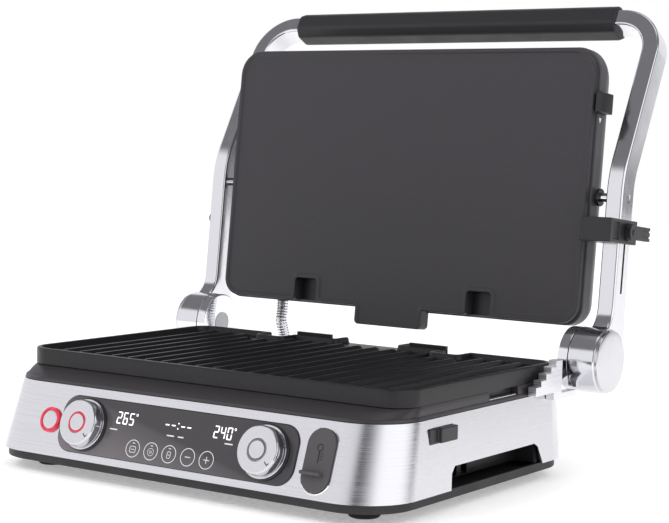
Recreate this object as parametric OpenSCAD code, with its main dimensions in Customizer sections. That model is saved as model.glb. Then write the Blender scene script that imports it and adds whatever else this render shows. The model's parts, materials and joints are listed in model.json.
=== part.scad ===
// Large contact grill (panini press) with a hinged, floating upper plate.
// +X is the right-hand side as seen by the cook, -Y is the front with the controls, +Z is up.
// The origin is on the worktop under the centre of the base. The cover is drawn closed and
// then swung open by open_angle about the hinge axis.

/* [Base] */
// Width of the steel band along its bottom edge
base_w = 388; // [330:1:420]
// Depth of the steel band along its bottom edge
base_d = 295; // [270:1:340]
// Height of the steel band
band_h = 54.2; // [50:0.1:70]
// Height of the band's bottom edge above the worktop
band_z = 16; // [14:0.5:24]
// How much narrower the band is at the top, on each side
side_taper = 6; // [2:0.5:12]
// How far the front face leans back over its height
front_taper = 19; // [12:0.5:26]
// Corner radius of the band at the bottom
band_r = 45; // [30:1:60]
// Sheet thickness of the band
band_t = 1.2; // [0.8:0.1:2]
// Height of the black collar between the band and the lower plate
collar_h = 9.8; // [8:0.2:16]
// Diameter of a rubber foot
foot_d = 24; // [16:1:32]

/* [Plates] */
// Width of each cooking plate
plate_w = 370; // [320:1:374]
// Depth of each cooking plate
plate_d = 230; // [200:1:232]
// Height of each plate, skirt and rim included
plate_h = 13; // [11:0.5:18]
// Thickness of the plate's floor
plate_t = 4.5; // [3:0.5:6]
// Depth of the cooking face below the rim of the ribbed plate
lower_rim_h = 5; // [4:0.5:6]
// Depth of the cooking face below the rim of the flat plate
upper_rim_h = 1.6; // [1:0.2:3]
// Width of the rim
rim_w = 4; // [3:0.5:8]
// Distance from rib to rib
rib_pitch = 17.6; // [12:0.1:22]
// Height of a rib
rib_h = 3.2; // [2:0.2:4]
// Width of the grease spout
spout_w = 70; // [50:1:90]
// Length of the grease spout behind the plate
spout_l = 16.5; // [10:0.5:18]
// Gap between the closed plates
plate_gap = 0.5; // [0.3:0.1:2]

/* [Hinge] */
// Angle between the closed and the open cover
open_angle = 95.8; // [90:0.1:105]
// Radius of the hinge barrels
barrel_r = 26.7; // [22:0.1:26.8]
// Distance from the plates' rear edge to the hinge axis
hinge_back = 27.4; // [27.2:0.1:34]
// How far each barrel reaches in over the base, from the base's side
barrel_inset = 9.8; // [0:0.1:24]
// Length of each barrel with its end cap
barrel_l = 36.3; // [32:0.1:44]
// Radius of a hinge pin
pin_r = 6; // [4:0.1:9]
// Running clearance of pins and shafts, on the radius
run_gap = 0.06; // [0.02:0.01:0.1]

/* [Arms and handle] */
// Thickness of an arm, across the grill
arm_t = 15; // [10:0.5:18]
// Depth of an arm
arm_d = 22.5; // [18:0.5:26]
// Angle by which the front half of an arm rises
arm_rise = 22.3; // [10:0.1:30]
// Distance from the hinge axis to the grip
handle_reach = 290; // [280:1:320]
// Outer size of the grip along the arms
grip_w = 26; // [24:0.5:32]
// Outer size of the grip across the arms
grip_h = 29; // [28:0.5:34]
// Centre radius of the elbows
elbow_r = 34; // [26:1:44]
// Travel of the height slider along its arm
slider_travel = 46; // [30:1:50]

/* [Cover] */
// Height of the cover's straight side wall
cover_wall_h = 13; // [10:0.5:20]
// Height of the cover's crown above its side wall
crown_h = 30; // [20:1:36]
// Inset of the crown's top
crown_in = 24; // [12:1:40]
// Wall thickness of the cover shell
shell_t = 2; // [1.5:0.1:3]
// Radius of the two pins the cover floats on
float_pin_r = 4; // [3:0.1:5]

/* [Controls] */
// Width of the control panel
panel_w = 229; // [200:1:234]
// Height of the control panel along the leaning front
panel_h = 44.5; // [40:0.5:48]
// Corner radius of the control panel
panel_r = 14; // [6:1:20]
// Radius of a temperature knob
knob_r = 18.5; // [14:0.5:19]
// Height of a temperature knob above its bezel
knob_h = 9; // [8:0.5:18]
// Distance of each temperature knob from the middle of the panel
knob_spread = 87.4; // [80:0.1:92]
// Outer radius of a knob bezel
bezel_r = 21; // [18:0.5:22]
// Outer radius of a light ring
ring_r = 8.4; // [7:0.1:10]
// Radius of a start button
start_r = 6.8; // [5:0.1:7]
// Radius of the power button
power_r = 7.6; // [5:0.1:8]
// Travel of the push buttons
button_travel = 1.5; // [1:0.1:3]
// Width of the probe-socket cover
flap_w = 24; // [20:0.5:26]
// Length of the probe-socket cover
flap_l = 47; // [40:0.5:48]

/* [Drip tray and inlets] */
// Width of the drip tray
tray_w = 140; // [100:1:180]
// Depth of the drip tray
tray_d = 85; // [60:1:90]
// Height of the drip tray
tray_h = 22; // [16:1:26]
// Outside diameter of the cover's cable conduit
conduit_d = 12; // [8:0.5:14]
// Bore of the mains lead's gland
gland_bore = 7.5; // [6:0.1:9]

/* [Hidden] */
$fn = 64;
fine_n = 32;
e = 0.01;

// Fits between pieces
seat_gap = 0.2;
slide_gap = 0.3;

// Base
front_lean = atan(front_taper / band_h);
front_y = -base_d / 2;
rear_y = base_d / 2;
band_top = band_z + band_h;
top_r = band_r - 5;
plate_z = band_top + collar_h + seat_gap;
rim_z = plate_z + plate_h;
panel_mid = band_h / cos(front_lean) / 2 - 0.6;
pan_z = 9;
pan_t = 3;
foot_x = base_w / 2 - 41;
foot_front_y = front_y + 41;
foot_rear_y = rear_y - 36;
boss_x = base_w / 2 - 60;
boss_front_y = front_y + 62;
boss_rear_y = rear_y - 30;
cut_y0 = -52;
cut_y1 = 84;
cut_h = 17;
release_y = -63;
release_z = band_z + 42;
release_l = 34;
release_h = 11;

// Hinge
axis_y = rear_y - 24.5 + hinge_back;
axis_z = rim_z + plate_gap / 2;
plate_y1 = axis_y - hinge_back;
plate_y0 = plate_y1 - plate_d;
front_corner_r = 22;
rear_corner_r = 16;
notch_x0 = 79;
notch_x1 = 103;
notch_d = 20.5;
skirt_t = 3;
release_x1 = base_w / 2 - 0.5;
release_travel = 3;
latch_t = 2;
ledge_x = plate_w / 2 - skirt_t - 3.3;
latch_x = ledge_x - slide_gap - 1.4 - latch_t;
knuckle_l = 9;
cap_l = 3.5;
barrel_x0 = base_w / 2 - barrel_inset;
barrel_x1 = barrel_x0 + barrel_l;
arm_x0 = barrel_x1 - 5.5 - arm_t;
arm_x1 = arm_x0 + arm_t;
cavity_r = barrel_r - 6;
cavity_x0 = barrel_x0 + knuckle_l + 9.5;
cavity_x1 = barrel_x1 - cap_l + 1;

// Arms, drawn with the cover closed
arm_z = axis_z + 18.3;
bend_y = axis_y - 151.4;
bend_r = 75;
bend_half = bend_r * tan(arm_rise / 2);
handle_run = (handle_reach - (axis_y - bend_y)) / cos(arm_rise);
elbow_x = (arm_x0 + arm_x1) / 2 - elbow_r;
grip_x = elbow_x - 4.5;
grip_socket = 10;
slider_y = axis_y - 106.6;
slider_l = 19.7;
slider_x0 = arm_x0 - 10;
slider_x1 = arm_x1 + 3;
slot_l = slider_travel + 10;
lever_x0 = slider_x1 + slide_gap;
lever_t = 5;
lever_z = arm_z - 1;
flat_y = axis_y - 99;
flat_z = arm_z + 1;

// Cover, drawn closed
upper_rim_z = axis_z + plate_gap / 2;
cover_z0 = upper_rim_z + plate_h - 5;
cover_z1 = cover_z0 + cover_wall_h;
cover_frame_z = upper_rim_z + plate_h + seat_gap;
cover_w = plate_w + 3;
cover_y0 = plate_y0 - 1.5;
cover_y1 = plate_y1 + 1.5;
clip_y = axis_y - 212.4;
clip_l = 17;
clip_x1 = cover_w / 2 + 6;
float_y = axis_y - 134.4;
float_z = arm_z;
element_d = 7;
element_w = plate_w - 90;
element_y0 = plate_y0 + 40;
element_y1 = plate_y1 - 50;
element_corner = 30;
lower_element_z = rim_z - lower_rim_h - plate_t - element_d / 2 - slide_gap;
upper_element_z = upper_rim_z + upper_rim_h + plate_t + element_d / 2 + slide_gap;
reflector_drop = element_d / 2 + 2;
well_ledge_z = lower_element_z - reflector_drop - seat_gap;

// Controls
panel_x = 0.8;
knob_left_x = panel_x - knob_spread;
knob_right_x = panel_x + knob_spread;
power_x = -125;
power_ring_w = 2.4;
flap_x = 135.5;
panel_lip = 1.4;
bezel_h = 1.8;
button_proud = 0.4;
board_z = -14;
knob_z0 = panel_lip + bezel_h + slide_gap;
knob_z1 = knob_z0 + knob_h;
flap_t = 2.6;

// Conduit route behind the hinge, from the cover to the base
conduit_x = -140;
conduit_lid_z = cover_z1 + 13.5;
conduit_base_z = 48;

// ---------- helpers ----------

// Outline with its own front and rear corner radii, between two Y values
module outline(w, y0, y1, rf, rr) {
    translate([-w / 2, y0 + rf]) square([w, y1 - y0 - rf - rr]);
    translate([-w / 2 + rf, y0]) square([w - 2 * rf, y1 - y0 - rr]);
    translate([-w / 2 + rr, y0 + rf]) square([w - 2 * rr, y1 - y0 - rf]);
    for (s = [-1, 1]) {
        translate([s * (w / 2 - rf), y0 + rf]) circle(rf);
        translate([s * (w / 2 - rr), y1 - rr]) circle(rr);
    }
}

module round_rect(w, h, r) {
    square([w - 2 * r, h], center = true);
    square([w, h - 2 * r], center = true);
    for (sx = [-1, 1], sy = [-1, 1])
        translate([sx * (w / 2 - r), sy * (h / 2 - r)]) circle(r);
}

// Tapered body of the base, grown or shrunk by g, between heights z0 and z1 of the band
module base_form(g, z0, z1) {
    hull() {
        for (z = [z0, z1]) {
            f = (z - band_z) / band_h;
            r = band_r + (top_r - band_r) * f + g;
            translate([0, 0, z - (z == z1 ? e : 0)]) linear_extrude(e)
                outline(base_w - 2 * side_taper * f + 2 * g, front_y + front_taper * f - g,
                    rear_y + g, r, r, $fn = fine_n);
        }
    }
}

// A place on the leaning front: x across, s up the slope from the band's bottom edge, +Z outwards
module on_front(x, s) {
    translate([x, front_y + s * sin(front_lean), band_z + s * cos(front_lean)])
        rotate([90 - front_lean, 0, 0]) children();
}

// Swings a piece that is drawn closed to the open position
module opened() {
    translate([0, axis_y, axis_z]) rotate([-open_angle, 0, 0])
        translate([0, -axis_y, -axis_z]) children();
}

module x_rod(r, x0, x1, y, z) {
    translate([x0, y, z]) rotate([0, 90, 0]) cylinder(r = r, h = x1 - x0);
}

module x_tube(r, bore, x0, x1, y, z) {
    difference() {
        x_rod(r, x0, x1, y, z);
        x_rod(bore, x0 - 1, x1 + 1, y, z);
    }
}

module mirrored(side) {
    if (side < 0) mirror([1, 0, 0]) children();
    else children();
}

// ---------- base ----------

module side_cutout(grow) {
    for (s = [-1, 1])
        mirrored(s) translate([base_w / 2 - 40, 0, 0]) rotate([90, 0, 90])
            linear_extrude(60)
                polygon([[cut_y0 - 4 - grow, band_z - 8], [cut_y1 + 6 + grow, band_z - 8],
                    [cut_y1 - 4 + grow, band_z + cut_h - 3], [cut_y1 - 9, band_z + cut_h + grow],
                    [cut_y0 + 5, band_z + cut_h + grow], [cut_y0 - grow, band_z + cut_h - 5]]);
}

module steel_band() {
    color("gainsboro") difference() {
        base_form(0, band_z, band_top);
        base_form(-band_t, band_z - 1, band_top + 1);
        side_cutout(0);
        on_front(panel_x, panel_mid) translate([0, 0, -8]) linear_extrude(16)
            round_rect(panel_w - 8, panel_h - 8, panel_r - 4);
        on_front(power_x, panel_mid) translate([0, 0, -8])
            cylinder(r = power_r + power_ring_w / 2, h = 16);
        on_front(flap_x, panel_mid) translate([0, 0, -8]) linear_extrude(16)
            round_rect(flap_w - 6, flap_l - 6, flap_w / 2 - 3.01);
        translate([base_w / 2 - 30, release_y - release_l / 2 - slide_gap,
            release_z - release_h / 2 - slide_gap])
            cube([60, release_l + 2 * slide_gap, release_h + 2 * slide_gap]);
        translate([-tray_w / 2 - 2.5, rear_y - 20, band_z + 6])
            cube([tray_w + 5, 40, tray_h + 3]);
        translate([conduit_x, rear_y - 20, conduit_base_z]) rotate([-90, 0, 0])
            cylinder(r = conduit_d / 2 + 2, h = 40);
        translate([-conduit_x, rear_y - 20, conduit_base_z - 14]) rotate([-90, 0, 0])
            cylinder(r = gland_bore / 2 + 4, h = 40);
    }
}

module pan_bosses(r, z0, z1) {
    for (sx = [-1, 1], y = [boss_front_y, boss_rear_y])
        translate([sx * boss_x, y, z0]) cylinder(r = r, h = z1 - z0);
}

module bottom_pan() {
    wall_h = 14;
    color("dimgray") difference() {
        union() {
            translate([0, 0, pan_z]) linear_extrude(pan_t)
                outline(base_w - 7, front_y + 3.5, rear_y - 3.5, band_r - 3.5, band_r - 3.5);
            difference() {
                translate([0, 0, pan_z]) linear_extrude(band_z - pan_z - seat_gap)
                    outline(base_w - 7, front_y + 3.5, rear_y - 3.5, band_r - 3.5, band_r - 3.5);
                translate([0, 0, pan_z + pan_t]) linear_extrude(wall_h)
                    outline(base_w - 13, front_y + 6.5, rear_y - 6.5, band_r - 6.5, band_r - 6.5);
            }
            difference() {
                translate([0, 0, pan_z]) linear_extrude(wall_h)
                    outline(base_w - 12, front_y + 12, rear_y - 5, band_r - 6, band_r - 6);
                translate([0, 0, pan_z + pan_t]) linear_extrude(wall_h)
                    outline(base_w - 17, front_y + 14.5, rear_y - 7.5, band_r - 8.5, band_r - 8.5);
                side_cutout(6);
                translate([-tray_w / 2 - 3, rear_y - 20, pan_z + pan_t]) cube([tray_w + 6, 40, 40]);
            }
            pan_bosses(6, pan_z + pan_t - e, band_top - 5.4);
            for (x = [-tray_w / 2 - 5, tray_w / 2 + 3])
                translate([x, rear_y - tray_d - 8, pan_z + pan_t - e]) cube([2, tray_d, 9]);
        }
        pan_bosses(1.7, pan_z - 1, band_top);
        pan_bosses(3.5, pan_z - 1, pan_z + 2);
        for (x = [-110:11:110])
            translate([x - 2.2, -60, pan_z - 1]) cube([4.4, 46, pan_t + 2]);
    }
}

module collar() {
    well_w = plate_w - 34;
    color([0.22, 0.21, 0.22]) difference() {
        union() {
            hull() {
                translate([0, 0, band_top]) linear_extrude(e)
                    outline(base_w - 2 * side_taper - 1, front_y + front_taper + 0.5,
                        rear_y - 0.5, top_r, top_r, $fn = fine_n);
                translate([0, 0, band_top + 2.8]) linear_extrude(e)
                    outline(base_w - 2 * side_taper - 1.6, front_y + front_taper + 1.4,
                        rear_y - 0.8, top_r, top_r, $fn = fine_n);
            }
            hull() {
                translate([0, 0, band_top + 2.8]) linear_extrude(e)
                    outline(base_w - 2 * side_taper - 4, front_y + front_taper + 3,
                        rear_y - 2, top_r - 2, top_r - 2, $fn = fine_n);
                translate([0, 0, band_top + collar_h - e]) linear_extrude(e)
                    outline(plate_w + 0.5, plate_y0 + 2, rear_y - 5, front_corner_r, top_r - 5,
                        $fn = fine_n);
            }
            // inner lip that drops inside the band
            translate([0, 0, band_top - 5]) linear_extrude(5 + 2 * e)
                outline(base_w - 2 * side_taper - 5, front_y + front_taper + 4.5, rear_y - 3,
                    top_r - 2, top_r - 2);
        }
        // well for the element and its reflector
        translate([0, 0, well_ledge_z]) linear_extrude(40)
            outline(well_w, plate_y0 + 14, plate_y1 - 26, 14, 14);
        translate([0, 0, band_top - 8]) linear_extrude(40)
            outline(well_w - 12, plate_y0 + 20, plate_y1 - 32, 12, 12);
        // grease chute over the drip tray
        translate([-spout_w / 2 + 4, plate_y1 + 3, band_top - 8])
            cube([spout_w - 8, rear_y - 14 - plate_y1, 40]);
        // landing pocket for the height slider
        translate([plate_w / 2 - 6, 12, band_top + 3.2]) cube([20, 45, 40]);
        pan_bosses(2, band_top - 6, band_top + 3);
        // slot for the plate latch
        translate([latch_x - release_travel - 0.6, release_y - 7, band_top - 8])
            cube([release_travel + latch_t + 1.2, 14, 40]);
    }
}

module rubber_feet() {
    color("black") for (sx = [-1, 1], y = [foot_front_y, foot_rear_y])
        translate([sx * foot_x, y, 0]) rotate_extrude()
            polygon([[0, 0], [foot_d / 2 - 1.5, 0], [foot_d / 2, 1.5], [foot_d / 2, pan_z - 1],
                [foot_d / 2 - 1, pan_z], [0, pan_z]]);
}

module base_screws() {
    color("silver") {
        for (sx = [-1, 1], y = [boss_front_y, boss_rear_y])
            translate([sx * boss_x, y, pan_z - 0.9]) {
                cylinder(r = 3.2, h = 2.4);
                translate([0, 0, 2.4 - e]) cylinder(r = 1.6, h = 40);
            }
    }
}

// ---------- cooking plates, rim up at z = 0 ----------

module plate_outline(g, tail) {
    difference() {
        outline(plate_w + 2 * g, plate_y0 - g, plate_y1 + g, front_corner_r + g, rear_corner_r + g);
        for (s = [-1, 1])
            translate([(s > 0 ? notch_x0 : -notch_x1) + g, plate_y1 - notch_d + g])
                square([notch_x1 - notch_x0 - 2 * g, notch_d + 20]);
    }
    translate([-spout_w / 2 - g, plate_y1 - 20]) square([spout_w + 2 * g, 20 + spout_l + tail]);
}

module grill_plate(rim_h, ribbed) {
    floor_z = -rim_h - plate_t;
    difference() {
        translate([0, 0, -plate_h]) linear_extrude(plate_h) plate_outline(0, 0);
        translate([0, 0, -rim_h]) linear_extrude(rim_h + 1) plate_outline(-rim_w, 10);
        translate([0, 0, -plate_h - 1]) linear_extrude(plate_h + 1 + floor_z)
            plate_outline(-skirt_t, -skirt_t);
    }
    if (ribbed) {
        n = floor((plate_w - 2 * rim_w - 12) / rib_pitch / 2);
        for (i = [-n:n]) {
            x = i * rib_pitch;
            tail = abs(x) > notch_x0 - 7 && abs(x) < notch_x1 + 7 ? notch_d + 8 : 9;
            translate([x, plate_y1 - tail, -rim_h - e]) rotate([90, 0, 0])
                linear_extrude(plate_d - tail - 13)
                    polygon([[-2.6, 0], [2.6, 0], [1.3, rib_h], [-1.3, rib_h]]);
        }
    }
}

module lower_plate() {
    wall_x0 = spout_w / 2 + 6;
    color([0.14, 0.13, 0.14]) translate([0, 0, rim_z]) {
        grill_plate(lower_rim_h, true);
        // ledge that the latch holds down
        translate([ledge_x, release_y - 8, -plate_h]) cube([plate_w / 2 - 1 - ledge_x, 16, 2]);
        for (s = [-1, 1]) mirrored(s) {
            translate([wall_x0, plate_y1 - 2, -plate_h]) cube([notch_x0 - wall_x0 - 1, 8, plate_h - 1]);
            translate([wall_x0, plate_y1 + 2.8, -plate_h]) cube([notch_x0 - wall_x0 - 1, 3.2, plate_h + 2.4]);
        }
    }
}

module upper_plate() {
    color([0.27, 0.26, 0.28]) opened()
        translate([0, 0, upper_rim_z]) mirror([0, 0, 1]) grill_plate(upper_rim_h, false);
}

// ---------- heating ----------

// Tubular element: a rounded loop with both ends turned down at the rear
module element_loop(w, y0, y1, r, drop) {
    t = element_d / 2;
    for (s = [-1, 1]) {
        translate([s * (w / 2 - r), y0 + r, 0]) rotate([0, 0, s > 0 ? -90 : 180])
            rotate_extrude(angle = 90) translate([r, 0]) circle(t, $fn = 24);
        translate([s * w / 2, y0 + r, 0]) rotate([-90, 0, 0])
            cylinder(r = t, h = y1 - y0 - 2 * r, $fn = 24);
        translate([s * (w / 2 - r), y1 - r, 0]) rotate([0, 0, s > 0 ? 0 : 90])
            rotate_extrude(angle = 90) translate([r, 0]) circle(t, $fn = 24);
        translate([s > 0 ? 11 : -w / 2 + r, y1, 0]) rotate([0, 90, 0])
            cylinder(r = t, h = w / 2 - r - 11, $fn = 24);
        translate([s * 15, y1, -drop]) cylinder(r = t - 0.6, h = drop, $fn = 24);
    }
    translate([-w / 2 + r, y0, 0]) rotate([0, 90, 0]) cylinder(r = t, h = w - 2 * r, $fn = 24);
}

module lower_element() {
    color("dimgray") translate([0, 0, lower_element_z])
        element_loop(element_w, element_y0, element_y1, element_corner, 16);
}

module upper_element() {
    color("dimgray") opened() translate([0, 0, upper_element_z]) mirror([0, 0, 1])
        element_loop(element_w, element_y0, element_y1, element_corner, 14);
}

// Pressed heat reflector: a shallow tray with holes for the element's ends and the sensor
module reflector(w, y0, y1, wall_h) {
    difference() {
        linear_extrude(wall_h) outline(w, y0, y1, 12, 12);
        translate([0, 0, 0.8]) linear_extrude(wall_h) outline(w - 1.6, y0 + 0.8, y1 - 0.8, 11.2, 11.2);
        for (s = [-1, 1])
            translate([s * 15, element_y1, -1]) cylinder(r = element_d / 2 + 1, h = wall_h + 2);
        translate([0, plate_y0 + 80, -1]) cylinder(r = 8, h = wall_h + 2);
    }
}

module lower_reflector() {
    color("silver") translate([0, 0, lower_element_z - reflector_drop])
        reflector(plate_w - 36, plate_y0 + 15, plate_y1 - 27, 7);
}

module upper_reflector() {
    color("silver") opened() translate([0, 0, upper_element_z + reflector_drop])
        mirror([0, 0, 1]) reflector(plate_w - 24, plate_y0 + 12, plate_y1 - 24, 5);
}

// Sprung temperature sensor: a cap on a stem
module sensor(stem) {
    translate([0, plate_y0 + 80, 0]) {
        translate([0, 0, -3]) cylinder(r = 7, h = 3);
        translate([0, 0, -3 - stem]) cylinder(r = 3, h = stem + e);
    }
}

module lower_sensor() {
    color("goldenrod") translate([0, 0, rim_z - lower_rim_h - plate_t - 0.3]) sensor(15);
}

module upper_sensor() {
    color("goldenrod") opened() translate([0, 0, upper_rim_z + upper_rim_h + plate_t + 0.3])
        mirror([0, 0, 1]) sensor(12);
}

// ---------- controls ----------

module knob_places() {
    for (x = [knob_left_x, knob_right_x]) translate([x - panel_x, 0, 0]) children();
}

module control_panel() {
    color([0.36, 0.35, 0.37]) on_front(panel_x, panel_mid) difference() {
        union() {
            linear_extrude(panel_lip) round_rect(panel_w, panel_h, panel_r);
            translate([0, 0, -2.4]) linear_extrude(2.4 + e)
                round_rect(panel_w - 8.6, panel_h - 8.6, panel_r - 4.3);
        }
        knob_places() translate([0, 0, -5]) cylinder(r = ring_r + run_gap, h = 10);
    }
}

module display_module() {
    color([0.1, 0.12, 0.14]) on_front(1.4, panel_mid + 6) translate([0, 0, -6.4])
        translate([-56, -10, 0]) cube([112, 20, 3.8]);
}

module control_board() {
    color("darkgreen") on_front(panel_x, panel_mid) difference() {
        translate([-105, -16, board_z]) cube([210, 33, 1.6]);
        knob_places() translate([0, 0, board_z - 1]) cylinder(r = 4, h = 4);
    }
}

module power_board() {
    color("darkgreen") translate([-70, -40, pan_z + pan_t + 6]) cube([140, 70, 1.6]);
    color("black") {
        translate([-52, -22, pan_z + pan_t + 7.6 - e]) cube([30, 24, 20]);
        translate([16, -22, pan_z + pan_t + 7.6 - e]) cube([34, 28, 24]);
    }
    color("ivory") for (x = [-60, 60], y = [-32, 22])
        translate([x, y, pan_z + pan_t - e]) cylinder(r = 3, h = 6 + e);
}

module bezel(x) {
    color([0.12, 0.12, 0.12]) on_front(x, panel_mid) translate([0, 0, panel_lip])
        difference() {
            rotate_extrude() polygon([[ring_r + 1.6, 0], [bezel_r, 0], [bezel_r, bezel_h - 0.6],
                [bezel_r - 0.6, bezel_h], [ring_r + 1.6, bezel_h]]);
            translate([0, 0, bezel_h - 0.8]) rotate_extrude()
                translate([knob_r - 4, 0]) square([1.2, 3]);
        }
}

module knob(x) {
    color("silver") on_front(x, panel_mid) difference() {
        translate([0, 0, knob_z0]) rotate_extrude()
            polygon([[ring_r + run_gap, 0], [knob_r + 1.4, 0], [knob_r + 1.4, 0.8],
                [knob_r - 0.7, 0.9], [knob_r - 0.7, 1.8], [knob_r, 2], [knob_r - 0.5, knob_h - 1.6],
                [knob_r - 1.3, knob_h], [ring_r + run_gap, knob_h]]);
        // pointer notch
        rotate([0, 0, -42]) translate([ring_r + 3.5, -0.6, knob_z1 - 0.6]) cube([4, 1.2, 2]);
    }
}

module light_ring(x, r, bore, z0, z1) {
    color("crimson") on_front(x, panel_mid) translate([0, 0, z0]) difference() {
        cylinder(r = r, h = z1 - z0);
        translate([0, 0, -1]) cylinder(r = bore, h = z1 - z0 + 2);
    }
}

module start_button(x) {
    color("silver") on_front(x, panel_mid) {
        translate([0, 0, knob_z1 - 9]) cylinder(r = start_r, h = 9 + button_proud);
        translate([0, 0, board_z + 4]) cylinder(r = 2.5, h = knob_z1 - 9 - board_z - 4 + e);
    }
}

module encoder(x) {
    color([0.3, 0.3, 0.32]) on_front(x, panel_mid) difference() {
        translate([-9, -9, board_z + 1.6]) cube([18, 18, 6]);
        translate([0, 0, board_z + 3.8 - button_travel]) cylinder(r = 4.2, h = 8);
    }
}

module power_light_ring() {
    light_ring(power_x, power_r + power_ring_w, power_r + run_gap, 0.02, 2.6);
}

module power_button() {
    color("silver") on_front(power_x, panel_mid) translate([0, 0, -8]) rotate_extrude()
        polygon([[0, 0], [power_r, 0], [power_r, 12.6], [power_r - 0.8, 13.4], [0, 13.6]]);
}

module probe_socket() {
    color([0.1, 0.1, 0.1]) on_front(flap_x, panel_mid) difference() {
        translate([0, 0, -7.6]) linear_extrude(7.6 - band_t + 1.1)
            round_rect(flap_w - 7, flap_l - 7, flap_w / 2 - 3.51);
        translate([0, 0, -4]) linear_extrude(10) round_rect(flap_w - 11, flap_l - 11, flap_w / 2 - 5.51);
        translate([0, 0, -6.6]) cylinder(r = 1.8, h = 10);
    }
}

module socket_cover() {
    color([0.24, 0.23, 0.24]) on_front(flap_x, panel_mid) {
        translate([0, 0, 0.2]) linear_extrude(flap_t) round_rect(flap_w, flap_l, flap_w / 2 - e);
        translate([-11.5, -flap_l / 2 + 12, flap_t]) cube([18, 2.6, 5.2]);
    }
}

// ---------- side recesses, release button and latch ----------

module grip_liner(side) {
    inner_x = base_w / 2 - 26;
    color([0.1, 0.1, 0.1]) mirrored(side) difference() {
        translate([inner_x, cut_y0 - 3, band_z]) cube([24.5, cut_y1 - cut_y0 + 6, cut_h + 4]);
        translate([inner_x + 2, cut_y0 + 1, pan_z + pan_t - 1])
            cube([30, cut_y1 - cut_y0 - 2, cut_h + 7]);
        for (i = [0:3])
            translate([inner_x - 1, cut_y0 + 6 + 15 * i, band_z + 1]) cube([5, 9, 10]);
        translate([base_w / 2 - 4.2, cut_y0 - 10, 0]) rotate([0, -atan(side_taper / band_h), 0])
            cube([20, cut_y1 - cut_y0 + 20, 80]);
    }
}

module lower_release_button() {
    y0 = release_y - release_l / 2;
    color([0.12, 0.12, 0.12]) {
        translate([release_x1 - 16, y0, release_z - release_h / 2]) cube([13, release_l, release_h]);
        translate([release_x1 - 6, y0 + 11, release_z - release_h / 2])
            cube([6, release_l - 11, release_h]);
    }
}

module lower_latch() {
    color("silver") {
        translate([latch_x, release_y - 6, release_z - 2])
            cube([release_x1 - 16 - latch_x, 12, 2]);
        translate([latch_x, release_y - 6, release_z - 2])
            cube([latch_t, 12, plate_z + 3.2 - release_z + 2]);
        translate([latch_x, release_y - 6, plate_z + 2.3]) cube([latch_t + 1.4, 12, 0.9]);
    }
}

// ---------- drip tray ----------

module drip_tray() {
    z0 = band_z + 7;
    y1 = rear_y + 1.5;
    color([0.2, 0.2, 0.2]) {
        difference() {
            translate([-tray_w / 2, y1 - tray_d, z0]) cube([tray_w, tray_d - 1, tray_h]);
            translate([-tray_w / 2 + 2, y1 - tray_d + 2, z0 + 2]) cube([tray_w - 4, tray_d - 6, tray_h]);
        }
        translate([-tray_w / 2 - 4, y1 - 1.4, z0 - 3]) cube([tray_w + 8, 2.4, tray_h + 6]);
        translate([-15, y1 + 1 - e, z0 + tray_h - 5]) cube([30, 6, 3]);
    }
}

// ---------- hinges ----------

module hinge_bracket(side) {
    foot_x0 = barrel_x0 - 44;
    foot_y0 = plate_y1 + 6.5;
    foot_y1 = rear_y - 5.5;
    knuckle_x1 = barrel_x0 + knuckle_l;
    color("silver") mirrored(side) difference() {
        union() {
            translate([foot_x0, foot_y0, band_top + collar_h]) cube([knuckle_x1 - foot_x0, foot_y1 - foot_y0, 4]);
            x_rod(barrel_r - 0.2, barrel_x0, knuckle_x1, axis_y, axis_z);
        }
        x_rod(pin_r + 0.03, barrel_x0 - 1, knuckle_x1 + 1, axis_y, axis_z);
        x_rod(10, barrel_x0 - 1, barrel_x0 + 1.5, axis_y, axis_z);
        for (x = [foot_x0 + 8, foot_x0 + 28])
            translate([x, (foot_y0 + foot_y1) / 2, band_top]) cylinder(r = 2.2, h = 40);
    }
}

module hinge_pins() {
    color("silver") for (s = [-1, 1]) mirrored(s) {
        x_rod(pin_r, barrel_x0, barrel_x1 - cap_l - 1, axis_y, axis_z);
        x_rod(9.5, barrel_x0, barrel_x0 + 1.4, axis_y, axis_z);
    }
}

// One torsion spring: a helix of round wire about the hinge axis
function helix_ring(i, n, turns, r, pitch, wire, m) =
    let (a = 360 * turns * i / n, c = [pitch * turns * i / n, r * cos(a), r * sin(a)])
    [for (k = [0:m - 1]) let (b = 360 * k / m)
        c + [wire * sin(b), wire * cos(b) * cos(a), wire * cos(b) * sin(a)]];

module spring(x0, turns, r, pitch, wire) {
    n = turns * 16;
    m = 6;
    points = [for (i = [0:n]) each helix_ring(i, n, turns, r, pitch, wire, m)];
    sides = [for (i = [0:n - 1], k = [0:m - 1])
        [i * m + k, i * m + (k + 1) % m, (i + 1) * m + (k + 1) % m, (i + 1) * m + k]];
    ends = [[for (k = [m - 1:-1:0]) k], [for (k = [0:m - 1]) n * m + k]];
    translate([x0, axis_y, axis_z]) polyhedron(points, concat(sides, ends), convexity = 6);
}

module hinge_springs() {
    color("gray") for (s = [-1, 1]) mirrored(s)
        spring(cavity_x0 + 1.8, 4, 13, 2.6, 1.2);
}

module height_rack() {
    step_y = 8.2;
    step_z = 4.6;
    y0 = axis_y - 82.4;
    z0 = band_top + 8.3;
    y1 = y0 + 5 * step_y + 2;
    bar_z = band_top - 4.9;
    x0 = base_w / 2 - side_taper * (bar_z - band_z) / band_h + seat_gap;
    bar_y1 = axis_y - 15;
    steps = [for (i = [0:4], p = [0, 1]) [y0 + (i + p) * step_y, z0 + i * step_z]];
    color("whitesmoke") {
        translate([x0, 0, 0]) rotate([90, 0, 90]) linear_extrude(7.5)
            polygon(concat([[y0, band_top + 1]], steps, [[y1, z0 + 4 * step_z], [y1, band_top],
                [bar_y1, band_top], [bar_y1, bar_z], [y1 - 13, bar_z], [y1 - 13, band_top + 1]]));
    }
}

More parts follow.
